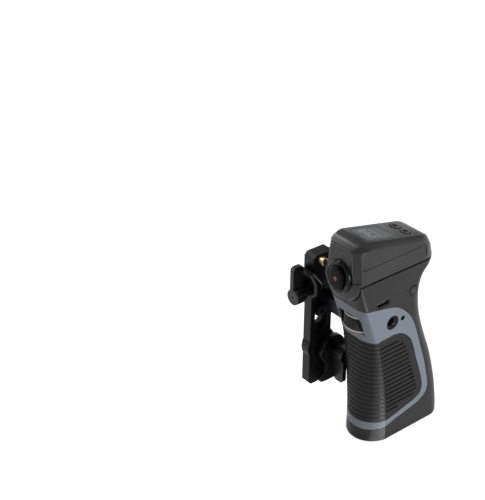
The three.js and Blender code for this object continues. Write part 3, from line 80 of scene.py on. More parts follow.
# height, front, back, across, deep, back rounding of the grip's section
STATIONS = [
    (0.0, -35.2, 24.0, 13.8, 14.0, 9.0),
    (6.0, -35.1, 23.7, 13.8, 13.8, 9.0),
    (14.0, -34.9, 22.5, 13.8, 13.0, 9.0),
    (27.0, -35.2, 19.9, 13.6, 11.5, 9.0),
    (46.5, -36.1, 14.2, 13.2, 9.0, 9.0),
    (60.0, -37.2, 8.8, 12.0, 7.3, 9.0),
    (72.7, -38.6, 4.1, 10.5, 5.6, 9.0),
    (81.5, -41.0, 1.7, 8.5, 4.4, 9.0),
    (92.0, -44.2, 0.3, 6.5, 3.8, 9.0),
    (99.4, -46.7, 1.0, 5.5, 3.3, 9.0),
    (105.4, -48.6, 3.3, 5.0, 2.8, 9.0),
    (110.0, -49.8, 7.5, 4.5, 2.5, 9.0),
    (114.0, -51.0, 8.6, 4.2, 2.2, 9.0),
]
# outlines on the side view, Y and Z; their ends lie in front of the grip, so that they wrap round it
FRAME_LINE = [
    (-75, 96.2), (-50, 96.2), (-41.7, 95.9), (-33.1, 94.1), (-27.4, 93.0), (-20.2, 90.6), (-13.9, 85.9),
    (-8.5, 79.2), (-4.7, 71.5), (0.5, 57.4), (4.9, 44.9), (8.7, 31.2), (9.7, 25.3), (8.3, 20.4), (3.0, 16.7),
    (-6.8, 14.1), (-16.5, 12.1), (-24.3, 9.8), (-33, 8.9), (-75, 8.9),
]
PANEL_LINE = [
    (-75, 72), (-45, 72), (-31.9, 72.4), (-25.6, 73.1), (-19.7, 73.0), (-14.2, 70.9), (-9.0, 66.1),
    (-5.9, 60.2), (-2.5, 50.2), (2.9, 35.0), (4.6, 27.6), (3.6, 22.5), (-1.1, 19.8), (-9.6, 17.7),
    (-18.1, 15.6), (-25.3, 14.7), (-34, 14.5), (-75, 14.5),
]
# share of the head's length, then shares of its width below and above, of its rise and of the edge's slant
HEAD_ROWS = [
    (0, 0.727, 0.56, 0.832, 0.28), (0.052, 0.955, 0.81, 0.947, 0.8), (0.105, 0.985, 0.923, 0.987, 0.94),
    (0.165, 0.993, 0.93, 1, 0.97), (0.831, 1, 0.916, 0.599, 0.97), (0.898, 0.95, 0.84, 0.53, 1),
    (0.953, 0.82, 0.69, 0.415, 0.97), (0.987, 0.635, 0.5, 0.292, 0.8), (1, 0.4, 0.31, 0.133, 0.4),
]
HEAD_FACE_END, HEAD_TAIL = 0.165, 0.831  # the head is straight between these shares
TAIL_RINGS = 16
HEAD_SHARES = [0.026, 0.038, 0.052, 0.065, 0.078, 0.092, 0.105, 0.12, 0.135, 0.15, HEAD_FACE_END,
               0.3, 0.45, 0.6, 0.75, HEAD_TAIL]
HEAD_SHARES += [HEAD_TAIL + 0.169 * (1 - (1 - k / TAIL_RINGS) ** 1.4) for k in range(1, TAIL_RINGS + 1)]


# ---------------------------------------------------------------- mesh helpers
def shade(made, angle=30.0):
    """Smooth shading, with sharp edges from an angle on."""
    mesh = made.data
    for face in mesh.polygons:
        face.use_smooth = True
    mesh.set_sharp_from_angle(angle=math.radians(angle))


def add_mesh(name, points, faces, smooth_angle=30.0):
    """A new object from points in millimetres."""
    mesh = bpy.data.meshes.new(name)
    mesh.from_pydata([Vector(p) * MM for p in points], [], faces)
    mesh.validate()
    made = bpy.data.objects.new(name, mesh)
    bpy.context.scene.collection.objects.link(made)
    shade(made, smooth_angle)
    return made


def face_out(made, weld=0.0):
    """Turns the faces outward, after welding points that lie together."""
    work = bmesh.new()
    work.from_mesh(made.data)
    if weld:
        bmesh.ops.remove_doubles(work, verts=work.verts, dist=weld)
    bmesh.ops.recalc_face_normals(work, faces=work.faces)
    work.to_mesh(made.data)
    work.free()


def drop(made):
    mesh = made.data
    bpy.data.objects.remove(made, do_unlink=True)
    if mesh.users == 0:
        bpy.data.meshes.remove(mesh)


def settle(made):
    """Applies the modifiers of a new piece to its mesh."""
    graph = bpy.context.evaluated_depsgraph_get()
    graph.update()
    mesh = bpy.data.meshes.new_from_object(made.evaluated_get(graph))
    old = made.data
    made.modifiers.clear()
    made.data = mesh
    bpy.data.meshes.remove(old)
    return made


def combine(made, other, kind):
    """Joins, cuts or trims a piece with another one, which is used up."""
    step = made.modifiers.new("combine", "BOOLEAN")
    step.operation, step.object, step.solver = kind, other, "EXACT"
    settle(made)
    drop(other)


def cut(made, *others):
    for other in others:
        combine(made, other, "DIFFERENCE")


def bevel(made, width, segments, angle):
    step = made.modifiers.new("edges", "BEVEL")
    step.width, step.segments, step.limit_method = width * MM, segments, "ANGLE"
    step.angle_limit = math.radians(angle)
    return made


def arc(cu, cv, radius, a0, a1, steps):
    return [(cu + radius * math.cos(math.radians(a0 + (a1 - a0) * k / steps)),
             cv + radius * math.sin(math.radians(a0 + (a1 - a0) * k / steps))) for k in range(steps + 1)]


def circle(cu, cv, radius, steps=48):
    return arc(cu, cv, radius, 0, 360, steps)[:-1]


def rounded(u0, u1, v0, v1, r):
    """A rectangle with round corners."""
    steps = 8
    return (arc(u1 - r, v0 + r, r, 270, 360, steps) + arc(u1 - r, v1 - r, r, 0, 90, steps)
            + arc(u0 + r, v1 - r, r, 90, 180, steps) + arc(u0 + r, v0 + r, r, 180, 270, steps))


def stadium(cv, width, height, steps=24):
    """An upright slot shape with round ends."""
    r = width / 2
    lift = height / 2 - r
    return arc(0, cv + lift, r, 0, 180, steps) + arc(0, cv - lift, r, 180, 360, steps)


def spline(points, steps):
    """Uniform Catmull-Rom line through the points."""
    out = []
    n = len(points)
    for k in range(n - 1):
        p0, p1, p2, p3 = points[max(k - 1, 0)], points[k], points[k + 1], points[min(k + 2, n - 1)]
        for j in range(steps):
            t = j / steps
            out.append(tuple(
                0.5 * (2 * b + (c - a) * t + (2 * a - 5 * b + 4 * c - d) * t * t
                       + (3 * b - 3 * c + d - a) * t ** 3)
                for a, b, c, d in zip(p0, p1, p2, p3)))
    out.append(tuple(points[-1]))
    return out


def grown(outline, distance):
    """The outline moved outward by a distance."""
    sharpest = 0.5  # a corner moves at most 1 / this times as far
    area = sum(a[0] * b[1] - b[0] * a[1] for a, b in zip(outline, outline[1:] + outline[:1]))
    side = distance if area > 0 else -distance
    out = []
    for k, (u, v) in enumerate(outline):
        a, b = outline[k - 1], outline[(k + 1) % len(outline)]
        d1 = Vector((u - a[0], v - a[1])).normalized()
        d2 = Vector((b[0] - u, b[1] - v)).normalized()
        mid = (d1 + d2).normalized()
        s = side / max(mid.dot(d2), sharpest)
        out.append((u + mid.y * s, v - mid.x * s))
    return out


def bands(around, rows, joins):
    """Faces that join each ring of points to the next one; a last join closes the rings on the first."""
    return [(r * around + k, r * around + (k + 1) % around,
             (r + 1) % rows * around + (k + 1) % around, (r + 1) % rows * around + k)
            for r in range(joins) for k in range(around)]


def caps(around, rows):
    """Faces that close the first and the last ring of points."""
    return [tuple(range(around - 1, -1, -1)), tuple(range((rows - 1) * around, rows * around))]


def prism(name, outline, axis, low, high):
    """An outline drawn out along an axis."""
    place = {"X": lambda u, v, w: (w, u, v),
             "Y": lambda u, v, w: (u, w, v),
             "Z": lambda u, v, w: (u, v, w)}[axis]
    points = [place(u, v, w) for w in (low, high) for u, v in outline]
    made = add_mesh(name, points, caps(len(outline), 2) + bands(len(outline), 2, 1))
    face_out(made)
    return made


def tool(outline, axis, low, high):
    return prism("tool", outline, axis, low, high)


def loft(name, rings, smooth_angle=30.0):
    """A skin over rings with equal counts of points, closed at both ends."""
    around, rows = len(rings[0]), len(rings)
    faces = caps(around, rows) + bands(around, rows, rows - 1)
    made = add_mesh(name, [p for ring in rings for p in ring], faces, smooth_angle)
    face_out(made)
    shade(made, smooth_angle)
    return made


def turned(name, profile, place, steps=64, axis="Z", smooth_angle=30.0):
    """A turned body; the profile runs in radius and height from axis to axis, or as a closed ring."""
    turn = {"Z": Matrix(),
            "X": Matrix.Rotation(math.pi / 2, 4, "Y"),
            "-X": Matrix.Rotation(-math.pi / 2, 4, "Y"),
            "-Y": Matrix.Rotation(math.pi / 2, 4, "X")}[axis]
    points = []
    for r, h in profile:
        for k in range(steps):
            a = 2 * math.pi * k / steps
            points.append(turn @ Vector((r * math.cos(a), r * math.sin(a), h)) + Vector(place))
    rows = len(profile)
    joins = rows if profile[0][0] > 0 else rows - 1
    made = add_mesh(name, points, bands(steps, rows, joins), smooth_angle)
    face_out(made, weld=1e-6)
    shade(made, smooth_angle)
    return made


# ---------------------------------------------------------------- materials
TINT_SCALE, SHEEN_SCALE, STREAK_SCALE, SLOW_DETAIL = 55.0, 420.0, 300.0, 3.0
GRAIN_HEIGHT, STREAK_HEIGHT = 0.00006, 0.00004
STREAK_STRETCH = (1, 1, 40)
DRAWN, DRAWN_TURN = 0.75, 0.25


def colour(r, g, b):
    """An sRGB colour of 0 to 255 as linear light."""
    def line(c):
        c /= 255.0
        return c / 12.92 if c <= 0.04045 else ((c + 0.055) / 1.055) ** 2.4
    return (line(r), line(g), line(b), 1.0)


def tinted(c, factor):
    return (c[0] * factor, c[1] * factor, c[2] * factor, 1.0)


class Nodes:
    """A small writer of a material's node tree."""

    def __init__(self, material):
        material.use_nodes = True
        self.material, self.tree = material, material.node_tree
        self.shader = self.tree.nodes["Principled BSDF"]
        self.coords = self.tree.nodes.new("ShaderNodeTexCoord")

    def node(self, kind, levels=None, **settings):
        """A new node with the levels of its sockets and its own settings."""
        made = self.tree.nodes.new(kind)
        for key, value in settings.items():
            setattr(made, key, value)
        for socket, level in (levels or {}).items():
            made.inputs[socket].default_value = level
        return made

    def link(self, value, node, socket):
        self.tree.links.new(value, node.inputs[socket])

    def noise(self, scale, detail=2.0, vector=None):
        made = self.node("ShaderNodeTexNoise", {"Scale": scale, "Detail": detail})
        self.link(self.coords.outputs["Object"] if vector is None else vector, made, "Vector")
        return made.outputs["Fac"]

    def ramp(self, value, low, high):
        made = self.node("ShaderNodeValToRGB")
        for stop, position, shown in zip(made.color_ramp.elements, (0.35, 0.65), (low, high)):
            stop.position, stop.color = position, shown
        self.link(value, made, "Fac")
        return made.outputs["Color"]

    def range(self, value, low, high):
        made = self.node("ShaderNodeMapRange", {"To Min": low, "To Max": high})
        self.link(value, made, "Value")
        return made.outputs["Result"]

    def step(self, value, start, end, low=0.0, high=1.0):
        """A soft step of a value between two levels."""
        levels = {"From Min": start, "From Max": end, "To Min": low, "To Max": high}
        made = self.node("ShaderNodeMapRange", levels, interpolation_type="SMOOTHSTEP")
        self.link(value, made, "Value")
        return made.outputs["Result"]

    def maths(self, operation, first, second=None):
        made = self.node("ShaderNodeMath", operation=operation)
        self.link(first, made, 0)
        if second is not None:
            self.link(second, made, 1)
        return made.outputs[0]

    def bump(self, value, strength, distance):
        made = self.node("ShaderNodeBump", {"Strength": strength, "Distance": distance})
        self.link(value, made, "Height")
        return made.outputs["Normal"]

    def seen_level(self, low, high):
        """A level for what the camera and clear or glossy surfaces see, and another for the light itself."""
        path = self.node("ShaderNodeLightPath").outputs
        seen = self.maths("MAXIMUM", path["Is Camera Ray"], path["Is Glossy Ray"])
        return self.range(self.maths("MAXIMUM", seen, path["Is Transmission Ray"]), low, high)

    def put(self, socket, value):
        """Sets a socket of the shader to a level or to another node's result."""
        if isinstance(value, (int, float, tuple)):
            self.shader.inputs[socket].default_value = value
        else:
            self.link(value, self.shader, socket)


def moulded(name, rgb, rough, grain, specular=0.5, mottle=0.06, grain_scale=2600.0, drawn=False):
    """A slow tint, an uneven sheen and a fine grain; a drawn one spreads its highlights round Z."""
    made, base = Nodes(bpy.data.materials.new(name)), colour(*rgb)
    tint = made.noise(TINT_SCALE, SLOW_DETAIL)
    made.put("Base Color", made.ramp(tint, tinted(base, 1 - mottle), tinted(base, 1 + mottle)))
    made.put("Roughness", made.range(made.noise(SHEEN_SCALE, SLOW_DETAIL), rough - 0.05, rough + 0.05))
    made.put("Normal", made.bump(made.noise(grain_scale), grain, GRAIN_HEIGHT))
    made.put("Specular IOR Level", specular)
    if drawn:
        tangent = made.node("ShaderNodeTangent", direction_type="RADIAL", axis="Z")
        made.put("Tangent", tangent.outputs["Tangent"])
        made.put("Anisotropic", DRAWN)
        made.put("Anisotropic Rotation", DRAWN_TURN)
    return made.material


def brushed(name, rgb, rough):
    """Bare metal with fine streaks."""
    made, base = Nodes(bpy.data.materials.new(name)), colour(*rgb)
    mapping = made.node("ShaderNodeMapping", {"Scale": STREAK_STRETCH})
    made.link(made.coords.outputs["Object"], mapping, "Vector")
    streaks = made.noise(STREAK_SCALE, SLOW_DETAIL, mapping.outputs["Vector"])
    made.put("Base Color", made.ramp(streaks, tinted(base, 0.9), tinted(base, 1.08)))
    made.put("Roughness", made.range(streaks, rough - 0.06, rough + 0.08))
    made.put("Normal", made.bump(streaks, 0.12, STREAK_HEIGHT))
    made.put("Metallic", 1.0)
    return made.material


# how far a surface faces sideways where the painted sheen has ended, and how far forward where it begins
GLOSS_END, GLOSS_FRONT = (0.955, 0.985), (-0.2, -0.05)


def painted_corner_sheen(material, low, high, start=0.6, full=0.86):
    """Painted highlight: makes the surface glossier where it turns from the front to a side, at both front
    corners, as a sheen that stands in for a strip light's reflection.
    """
    made = Nodes(material)
    facing = made.node("ShaderNodeSeparateXYZ")
    made.link(made.coords.outputs["Normal"], facing, "Vector")
    sideways = made.maths("ABSOLUTE", facing.outputs["X"])
    turned_out = made.maths("MULTIPLY", made.step(sideways, start, full),
                            made.step(sideways, *GLOSS_END, 1.0, 0.0))
    forward = made.step(facing.outputs["Y"], *GLOSS_FRONT, 1.0, 0.0)
    made.put("Specular IOR Level", made.range(made.maths("MULTIPLY", turned_out, forward), low, high))


MATERIALS = {
    "dark_plastic": moulded("dark_plastic", (36, 36, 37), 0.42, 0.3, specular=0.26, drawn=True),
    "black_plastic": moulded("black_plastic", (9, 9, 10), 0.3, 0.15, specular=0.25),
    "blue_grey_plastic": moulded("blue_grey_plastic", (115, 123, 134), 0.44, 0.2, specular=0.35, mottle=0.03,
                                 drawn=True),
    "ribbed_rubber": moulded("ribbed_rubber", (35, 35, 36), 0.46, 0.35, specular=0.14, grain_scale=1900.0,
                             drawn=True),
    "black_anodised": moulded("black_anodised", (6, 6, 7), 0.34, 0.1, specular=0.18, grain_scale=3200.0),
    "bright_steel": brushed("bright_steel", (176, 178, 180), 0.34),
    "knurled_band": moulded("knurled_band", (46, 45, 43), 0.36, 0.1, specular=0.3),
    "champagne_metal": brushed("champagne_metal", (172, 164, 144), 0.26),
    "brass": brushed("brass", (176, 152, 120), 0.3),
    "dark_glass": moulded("dark_glass", (56, 58, 61), 0.28, 0.02, specular=0.3),
    "circuit_board": moulded("circuit_board", (30, 58, 44), 0.5, 0.2),
    "light_guide": moulded("light_guide", (96, 97, 98), 0.4, 0.1),
    "battery_can": moulded("battery_can", (58, 80, 110), 0.4, 0.1),
}
DARK_METAL = brushed("dark_metal", (74, 72, 66), 0.36)
# painted shade: the insert's metal is darker than its bright steel slot, for the shade in the hole it sits in
INSERT_PAINTED_SHADE_METAL = brushed("insert_painted_shade_metal", (44, 43, 40), 0.4)
GLOSS_BLACK = moulded("gloss_black", (11, 11, 12), 0.24, 0.06, specular=0.06)
RIM_BLACK = moulded("rim_black", (12, 12, 13), 0.26, 0.08, specular=0.18)
SATIN_BLACK = moulded("satin_black", (6, 6, 7), 0.3, 0.2, specular=0.3, grain_scale=3200.0)
HEAD_PLASTIC = moulded("head_plastic", (44, 44, 45), 0.33, 0.25, specular=0.26)
BASE_PLASTIC = moulded("base_plastic", (30, 30, 31), 0.34, 0.12, specular=0.4, drawn=True)
# painted highlight: a glossier skin at the front corners stands in for a strip light's reflection there
painted_corner_sheen(MATERIALS["ribbed_rubber"], 0.14, 0.52)
painted_corner_sheen(MATERIALS["dark_plastic"], 0.2, 1.0, 0.66, 0.88)
painted_corner_sheen(MATERIALS["blue_grey_plastic"], 0.35, 1.0, 0.66, 0.88)
painted_corner_sheen(BASE_PLASTIC, 0.16, 1.0)


def finish_with(made, slot, body, *nodes, material=None):
    """Gives a new piece its material, picked by its slot unless one is given, hangs it on its body and hides
    the CAD nodes that it stands for.
    """
    made.data.materials.clear()
    made.data.materials.append(material or MATERIALS[slot])
    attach(made, body)
    if nodes:
        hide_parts(*nodes)


# every CAD node gets its slot's material, a few get a darker one, and the bracket gets machined edges
OTHER_FINISHES = (
    # the USB receptacle's dark metal is partly painted shade, for the dark inside of the port
    (DARK_METAL, ("usb_receptacle", "arm_pin", "slot_screw", "slot_nut", "upper_lever_screw",
                  "lower_lever_screw")),
    (MATERIALS["dark_plastic"], ("power_key",)),
    (SATIN_BLACK, ("upper_jaw", "upper_lever", "lower_jaw", "lower_lever", "upper_clamp_screw",
                   "lower_clamp_screw")),
)
EDGES = {"upright": 0.45, "upper_jaw": 0.45, "lower_jaw": 0.5, "neck_arm": 0.5, "upper_lever": 0.35,
         "lower_lever": 0.35}
WELD_REACH, FLAT_WITHIN, EDGE_SEGMENTS, EDGE_FROM = 0.00001, 1.0, 3, 25.0

slot_of = {row["node"]: row["material_slot"] for row in frame["record"]["subparts"]}
for name, node in frame["nodes"].items():
    node.data.materials.clear()
    node.data.materials.append(MATERIALS[slot_of[name]])
for material, names in OTHER_FINISHES:
    for name in names:
        frame["nodes"][name].data.materials[0] = material
for name, width in EDGES.items():
    node = frame["nodes"][name]
    node.modifiers.new("weld", "WELD").merge_threshold = WELD_REACH
    flat = node.modifiers.new("flat", "DECIMATE")
    flat.decimate_type, flat.angle_limit = "DISSOLVE", math.radians(FLAT_WITHIN)
    bevel(node, width, EDGE_SEGMENTS, EDGE_FROM)
    node.modifiers.new("normals", "WEIGHTED_NORMAL").keep_sharp = False
    for face in node.data.polygons:
        face.use_smooth = True


# ---------------------------------------------------------------- grip form
def row_before(rows, place):
    """Index of the last row of a table at or before a place, so that another row follows it."""
    return max(i for i in range(len(rows) - 1) if rows[i][0] <= place + 1e-9)


def line_at(rows, place, column):
    """Value of one column of a table at a place, on straight lines between its rows."""
    k = row_before(rows, place)
    t = (place - rows[k][0]) / (rows[k + 1][0] - rows[k][0])
    return rows[k][column] + (rows[k + 1][column] - rows[k][column]) * t


def curve_at(rows, place, column):
    """Value of one column of a table at a place, on a smooth curve through its rows."""
    k = row_before(rows, place)
    p0, p1, p2, p3 = rows[max(k - 1, 0)], rows[k], rows[k + 1], rows[min(k + 2, len(rows) - 1)]
    a, b, c, d = p0[column], p1[column], p2[column], p3[column]
    h = p2[0] - p1[0]
    t = (place - p1[0]) / h
    leaving = (c - a) / (p2[0] - p0[0]) * h
    arriving = (d - b) / (p3[0] - p1[0]) * h
    return ((2 * t ** 3 - 3 * t * t + 1) * b + (t ** 3 - 2 * t * t + t) * leaving
            + (3 * t * t - 2 * t ** 3) * c + (t ** 3 - t * t) * arriving)


def station(z):
    """Front, back, across, deep and back rounding of the grip at a height."""
    z = min(max(z, 0.0), GRIP_HEIGHT)
    return [curve_at(STATIONS, z, column) for column in range(1, 6)]


# the front curve meets the flat side in a slight edge: it stops at this angle, at this share of its depth
CURVE_END, CURVE_REACH = math.radians(75), 0.9
SECTION_STEPS = 14


def corner(across, deep, angle):
    """Distance out and back of the front curve at an angle from the middle."""
    wide, long = across / math.sin(CURVE_END), CURVE_REACH * deep / (1 - math.cos(CURVE_END))
    return wide * math.sin(angle), long * (1 - math.cos(angle))


def section(z, inset):
    """The grip's level section at a height, moved inward by an inset."""
    front, back, across, deep, round_back = station(z)
    front, back, half = front + inset, back - inset, GRIP_HALF - inset
    across, deep, rb = (max(size - inset, LEAST) for size in (across, deep, round_back))
    curve = [corner(across, deep, CURVE_END * k / SECTION_STEPS) for k in range(SECTION_STEPS + 1)]
    line = [(half - across + x, front + y) for x, y in curve]
    line += arc(half - rb, back - rb, rb, 0, 90, SECTION_STEPS)
    line += arc(rb - half, back - rb, rb, 90, 180, SECTION_STEPS)
    line += [(across - half - x, front + y) for x, y in reversed(curve)]
    return [(x, y, z) for x, y in line]


def heights(low, high, step):
    """Even heights with about a step between them."""
    count = max(int((high - low) / step), 1)
    return [low + (high - low) * k / count for k in range(count + 1)]


def grip_form(name, inset, low, high, step=2.0):
    return loft(name, [section(z, inset) for z in heights(low, high, step)], 12.0)


def softened(line):
    """The outline as a smooth line, with its two far ends kept."""
    return line[:1] + spline(line[1:-1], 8) + line[-1:]


FRAME_EDGE, PANEL_EDGE = softened(FRAME_LINE), softened(PANEL_LINE)
PANEL_BACK = max(y for y, z in PANEL_EDGE)


def wheel_tools():
    """The wheel's window in the front, and its round room inside."""
    low = WHEEL_Z - WINDOW_H / 2
    window = rounded(-WINDOW_HALF, WINDOW_HALF, low, low + WINDOW_H, WINDOW_R)
    room = circle(0, WHEEL_Y, WHEEL_R + WHEEL_ROOM, 64)
    floor_z = WHEEL_Z - WHEEL_H / 2 - WHEEL_ROOM
    return tool(window, "Y", -100, WHEEL_Y), tool(room, "Z", floor_z, floor_z + WHEEL_H + 2 * WHEEL_ROOM)


def nose_tool(grow, y0, y1):
    """The head's round nose, which hangs down round the record button, with a rounded front edge."""
    def ring(radius, y):
        reach = radius + grow
        line = arc(0, GRIP_HEIGHT, reach, 180, 360, 40)
        line += [(reach, GRIP_HEIGHT + NOSE_LAP), (-reach, GRIP_HEIGHT + NOSE_LAP)]
        return [(x, y, z) for x, z in line]
    rings = [ring(NOSE_R - NOSE_CHAMFER, y0)]
    rings += [ring(NOSE_R - NOSE_CHAMFER * (1 - math.sin(math.radians(a))),
                   y0 + NOSE_CHAMFER * (1 - math.cos(math.radians(a)))) for a in (30, 60)]
    rings += [ring(NOSE_R, y0 + NOSE_CHAMFER), ring(NOSE_R, y1)]
    return loft("tool", rings)


def side_hole(side, y, radius, steps, floor=4.0):
    """Tool for a round hole in one side, from outside down to a floor."""
    return tool(circle(y, MOUNT_Z, radius, steps), "X", *sorted((side * floor, side * 20.0)))


# ---------------------------------------------------------------- shells, frame and base
def shells():
    """The two moulded halves, with a seat for the frame and a groove below the head."""
    rings = [section(z, 0.0) for z in heights(SHELL_FOOT, GRIP_HEIGHT - GROOVE_LOW, 2.0)]
    rings += [section(GRIP_HEIGHT - drop_by, GROOVE_DEPTH) for drop_by in (GROOVE_LIP, GROOVE_HIGH)]
    body = loft("grip_shell", rings, 12)
    seat = prism("seat", grown(FRAME_EDGE, GAP), "X", -FAR, FAR)
    cut(seat, grip_form("core", SKIN + GAP, -3, GRIP_HEIGHT + 3))
    cut(body, seat, grip_form("hollow", WALL, -5, GRIP_HEIGHT + 5),
        nose_tool(NOSE_GAP, HEAD_FRONT - 5, HEAD_FRONT + NOSE_DEPTH + GAP), *wheel_tools())
    for side in (-1, 1):
        cut(body, side_hole(side, MOUNT_Y, INSERT_R + INSERT_ROOM, 48),
            side_hole(side, LOCATOR_Y, LOCATOR_SEAT_R, 32, LOCATOR_FLOOR))
    socket = rounded(USB_Y - USB_HOLE_HALF, USB_Y + USB_HOLE_HALF,
                     PORT_Z - USB_HOLE_RISE, PORT_Z + USB_HOLE_RISE, USB_HOLE_R)
    cut(body, tool(socket, "X", *OUTER_WALL),
        tool(circle(POWER_Y, PORT_Z, POWER_R + POWER_ROOM), "X", *OUTER_WALL))
    for y in LIGHT_YS:
        cut(body, tool(circle(y, LIGHT_Z, LIGHT_HOLE_R, 20), "X", *OUTER_WALL))
    inner = body.copy()
    inner.data = body.data.copy()
    bpy.context.scene.collection.objects.link(inner)
    for made, node, x0, x1 in ((body, "shell_outer", -40, PARTING), (inner, "shell_inner", -PARTING, 40)):
        made.name = f"{node}_fine"
        cut(made, tool([(x0, -80), (x1, -80), (x1, 80), (x0, 80)], "Z", -5, 130))
        shade(made, 12)
        finish_with(made, "dark_plastic", "grip", node)


def side_frame():
    """The blue-grey frame round the front; the wall of its locating hole is painted dark, as painted shade
    inside the hole.
    """
    skin = grip_form("side_frame_fine", 0.0, 5, 100, 1.5)
    cut(skin, grip_form("core", SKIN, 2, 103))
    combine(skin, tool(FRAME_EDGE, "X", -FAR, FAR), "INTERSECT")
    cut(skin, tool(grown(PANEL_EDGE, 0.25), "X", -FAR, FAR), *wheel_tools())
    for side in (-1, 1):
        cut(skin, side_hole(side, MOUNT_Y, INSERT_R, 64), side_hole(side, LOCATOR_Y, LOCATOR_R, 32))
    shade(skin, 12)
    finish_with(skin, "blue_grey_plastic", "grip", "side_frame")
    # painted shade: the locating hole's wall gets the dark plastic, for the shade inside the hole
    skin.data.materials.append(MATERIALS["dark_plastic"])
    for face in skin.data.polygons:
        away = math.hypot(face.center.y - LOCATOR_Y * MM, face.center.z - MOUNT_Z * MM)
        if away < (LOCATOR_R + 0.05) * MM and abs(face.normal.x) < 0.3:
            face.material_index = 1


def base():
    """The base cap, rounded at its foot, with two seats for screws."""
    foot = ((1.2, 0.0), (0.35, 0.35), (0.0, 1.2))
    rings = [[(x, y, height) for x, y, z in section(0, inset)] for inset, height in foot]
    rings += [section(z, 0.0) for z in (2.4, FOOT_TOP)]
    plate = loft("base_cap_fine", rings, 40)
    radius, depth = BASE_SCREW_SEAT
    for y in BASE_SCREW_YS:
        cut(plate, tool(circle(0, y, radius, 32), "Z", -1, depth))
    shade(plate, 12)
    finish_with(plate, "dark_plastic", "grip", "base_cap", material=BASE_PLASTIC)


def insert(node, side):
    """A flanged threaded insert, turned with its thread rings."""
    crest, root, pitch = 2.98, 3.35, 0.63
    body = INSERT_R - 0.03
    profile = [(INSERT_R - 0.1, 0.0), (body, 0.1), (body, INSERT_DEPTH), (3.3, INSERT_DEPTH)]
    for k in range(4):
        profile += [(root, 3.35 - pitch * k), (crest, 3.1 - pitch * k), (crest, 2.95 - pitch * k)]
    profile += [(3.4, 0.85), (3.9, 0.4), (INSERT_R - 0.35, 0.08)]
    place = (side * (GRIP_HALF - INSERT_SUNK), MOUNT_Y, MOUNT_Z)
    made = turned(f"{node}_fine", [(r, -h) for r, h in profile], place, 64, "X" if side > 0 else "-X", 25)
    finish_with(made, "bright_steel", "grip", node, material=INSERT_PAINTED_SHADE_METAL)


# ---------------------------------------------------------------- ribbed panel
PANEL_COLUMNS, PANEL_ROWS = 200, 300
PANEL_END = PANEL_BACK - 0.05  # the skin's last column, where the outline is still two heights
FLAT_FROM, FRONT_SHARE, CURVE_SHARE = -21.0, 0.36, 0.78
MIDDLE_HEIGHT = 43.0  # the front's columns follow the curve at this height
CROWDING = 1.15  # above 1, the side's columns lie closer together toward the back
WAVE_POWER, WAVE_MARGIN, WAVE_FADE_LOW, WAVE_FADE_HIGH = 1.6, 0.4, 1.2, 0.9
WAVE_PAST_CORNER, WAVE_FADE_BACK = 0.7, 1.8
SLOT_REACH, SLOT_LIP, SLOT_SLOPE = 1.2, 0.12, 0.34


def at_y(line, y):
    """Heights where a closed outline crosses a place along Y."""
    hits = []
    for a, b in zip(line, line[1:] + line[:1]):
        if (a[0] - y) * (b[0] - y) < 0:
            hits.append(a[1] + (b[1] - a[1]) * (y - a[0]) / (b[0] - a[0]))
    return min(hits), max(hits)


def edge_distance(line, y, z):
    best = 1e9
    for a, b in zip(line, line[1:]):
        du, dv = b[0] - a[0], b[1] - a[1]
        t = max(0.0, min(1.0, ((y - a[0]) * du + (z - a[1]) * dv) / (du * du + dv * dv)))
        best = min(best, math.hypot(y - a[0] - t * du, z - a[1] - t * dv))
    return best


def smooth(value):
    """A soft step from 0 to 1."""
    value = max(0.0, min(1.0, value))
    return value * value * (3 - 2 * value)


def corner_end(z):
    """Place along Y where the rounded front corner runs out on the flat side."""
    front, _, _, deep, _ = station(z)
    return front + CURVE_REACH * deep


def slot_ends():
    """The level slots of the sides: height, front end and back end of each."""
    gap_to_corner, furthest, stride, shortest = 0.9, 6, 0.1, 3
    cropped = [p for p in PANEL_EDGE if p[0] > -60]
    rows = []
    for k in range(RIB_COUNT):
        z = RIB_LOW + RIB_PITCH * k
        start = corner_end(z) + gap_to_corner
        y, best = start, None
        while y < furthest:
            lo, hi = at_y(PANEL_EDGE, min(y, PANEL_BACK - 0.1))
            if lo + 1 < z < hi - 1 and edge_distance(cropped, y, z) > SLOT_MARGIN:
                best = y
            y += stride
        if best is not None and best - start > shortest:
            rows.append((z, start, best))
    return rows


def rib_depth(y, z, low, high, slots):
    """Depth of the grooves at a place: soft waves round the front, separate slots on the sides."""
    phase = (z - RIB_LOW) / RIB_PITCH
    near = round(phase)
    wave = 0.0
    if -1 < near < RIB_COUNT:
        bell = 0.5 + 0.5 * math.cos(2 * math.pi * (phase - near))
        wave = (WAVE_DEPTH * bell ** WAVE_POWER * smooth((z - low - WAVE_MARGIN) / WAVE_FADE_LOW)
                * smooth((high - z - WAVE_MARGIN) / WAVE_FADE_HIGH))
        wave *= smooth((corner_end(z) + WAVE_PAST_CORNER - y) / WAVE_FADE_BACK)
    slot = 0.0
    for height, start, end in slots:
        if abs(height - z) < SLOT_REACH:
            along = max(start + SLOT_HALF - y, y - end + SLOT_HALF, 0.0)
            slot = SLOT_DEPTH * smooth((SLOT_HALF + SLOT_LIP - math.hypot(along, z - height)) / SLOT_SLOPE)
    return max(wave, slot)


def front_point(side, share, z):
    """A point of the front and its outward direction; the share runs from the middle to the flat side."""
    front, _, across, deep, _ = station(z)
    flat = GRIP_HALF - across
    end = front + CURVE_REACH * deep
    if share > CURVE_SHARE:
        y = end + (FLAT_FROM - end) * (share - CURVE_SHARE) / (1 - CURVE_SHARE)
        return Vector((side * GRIP_HALF, y, z)), Vector((side, 0, 0))
    run = share / CURVE_SHARE * (flat + across + deep)
    if run < flat:
        return Vector((side * run, front, z)), Vector((0, -1, 0))
    angle = CURVE_END * (run - flat) / (across + deep)
    x, y = corner(across, deep, angle)
    wide, long = corner(across, deep, math.pi / 2)
    out = Vector((side * math.sin(angle) / wide, -math.cos(angle) / long, 0)).normalized()
    return Vector((side * (flat + x), front + y, z)), out


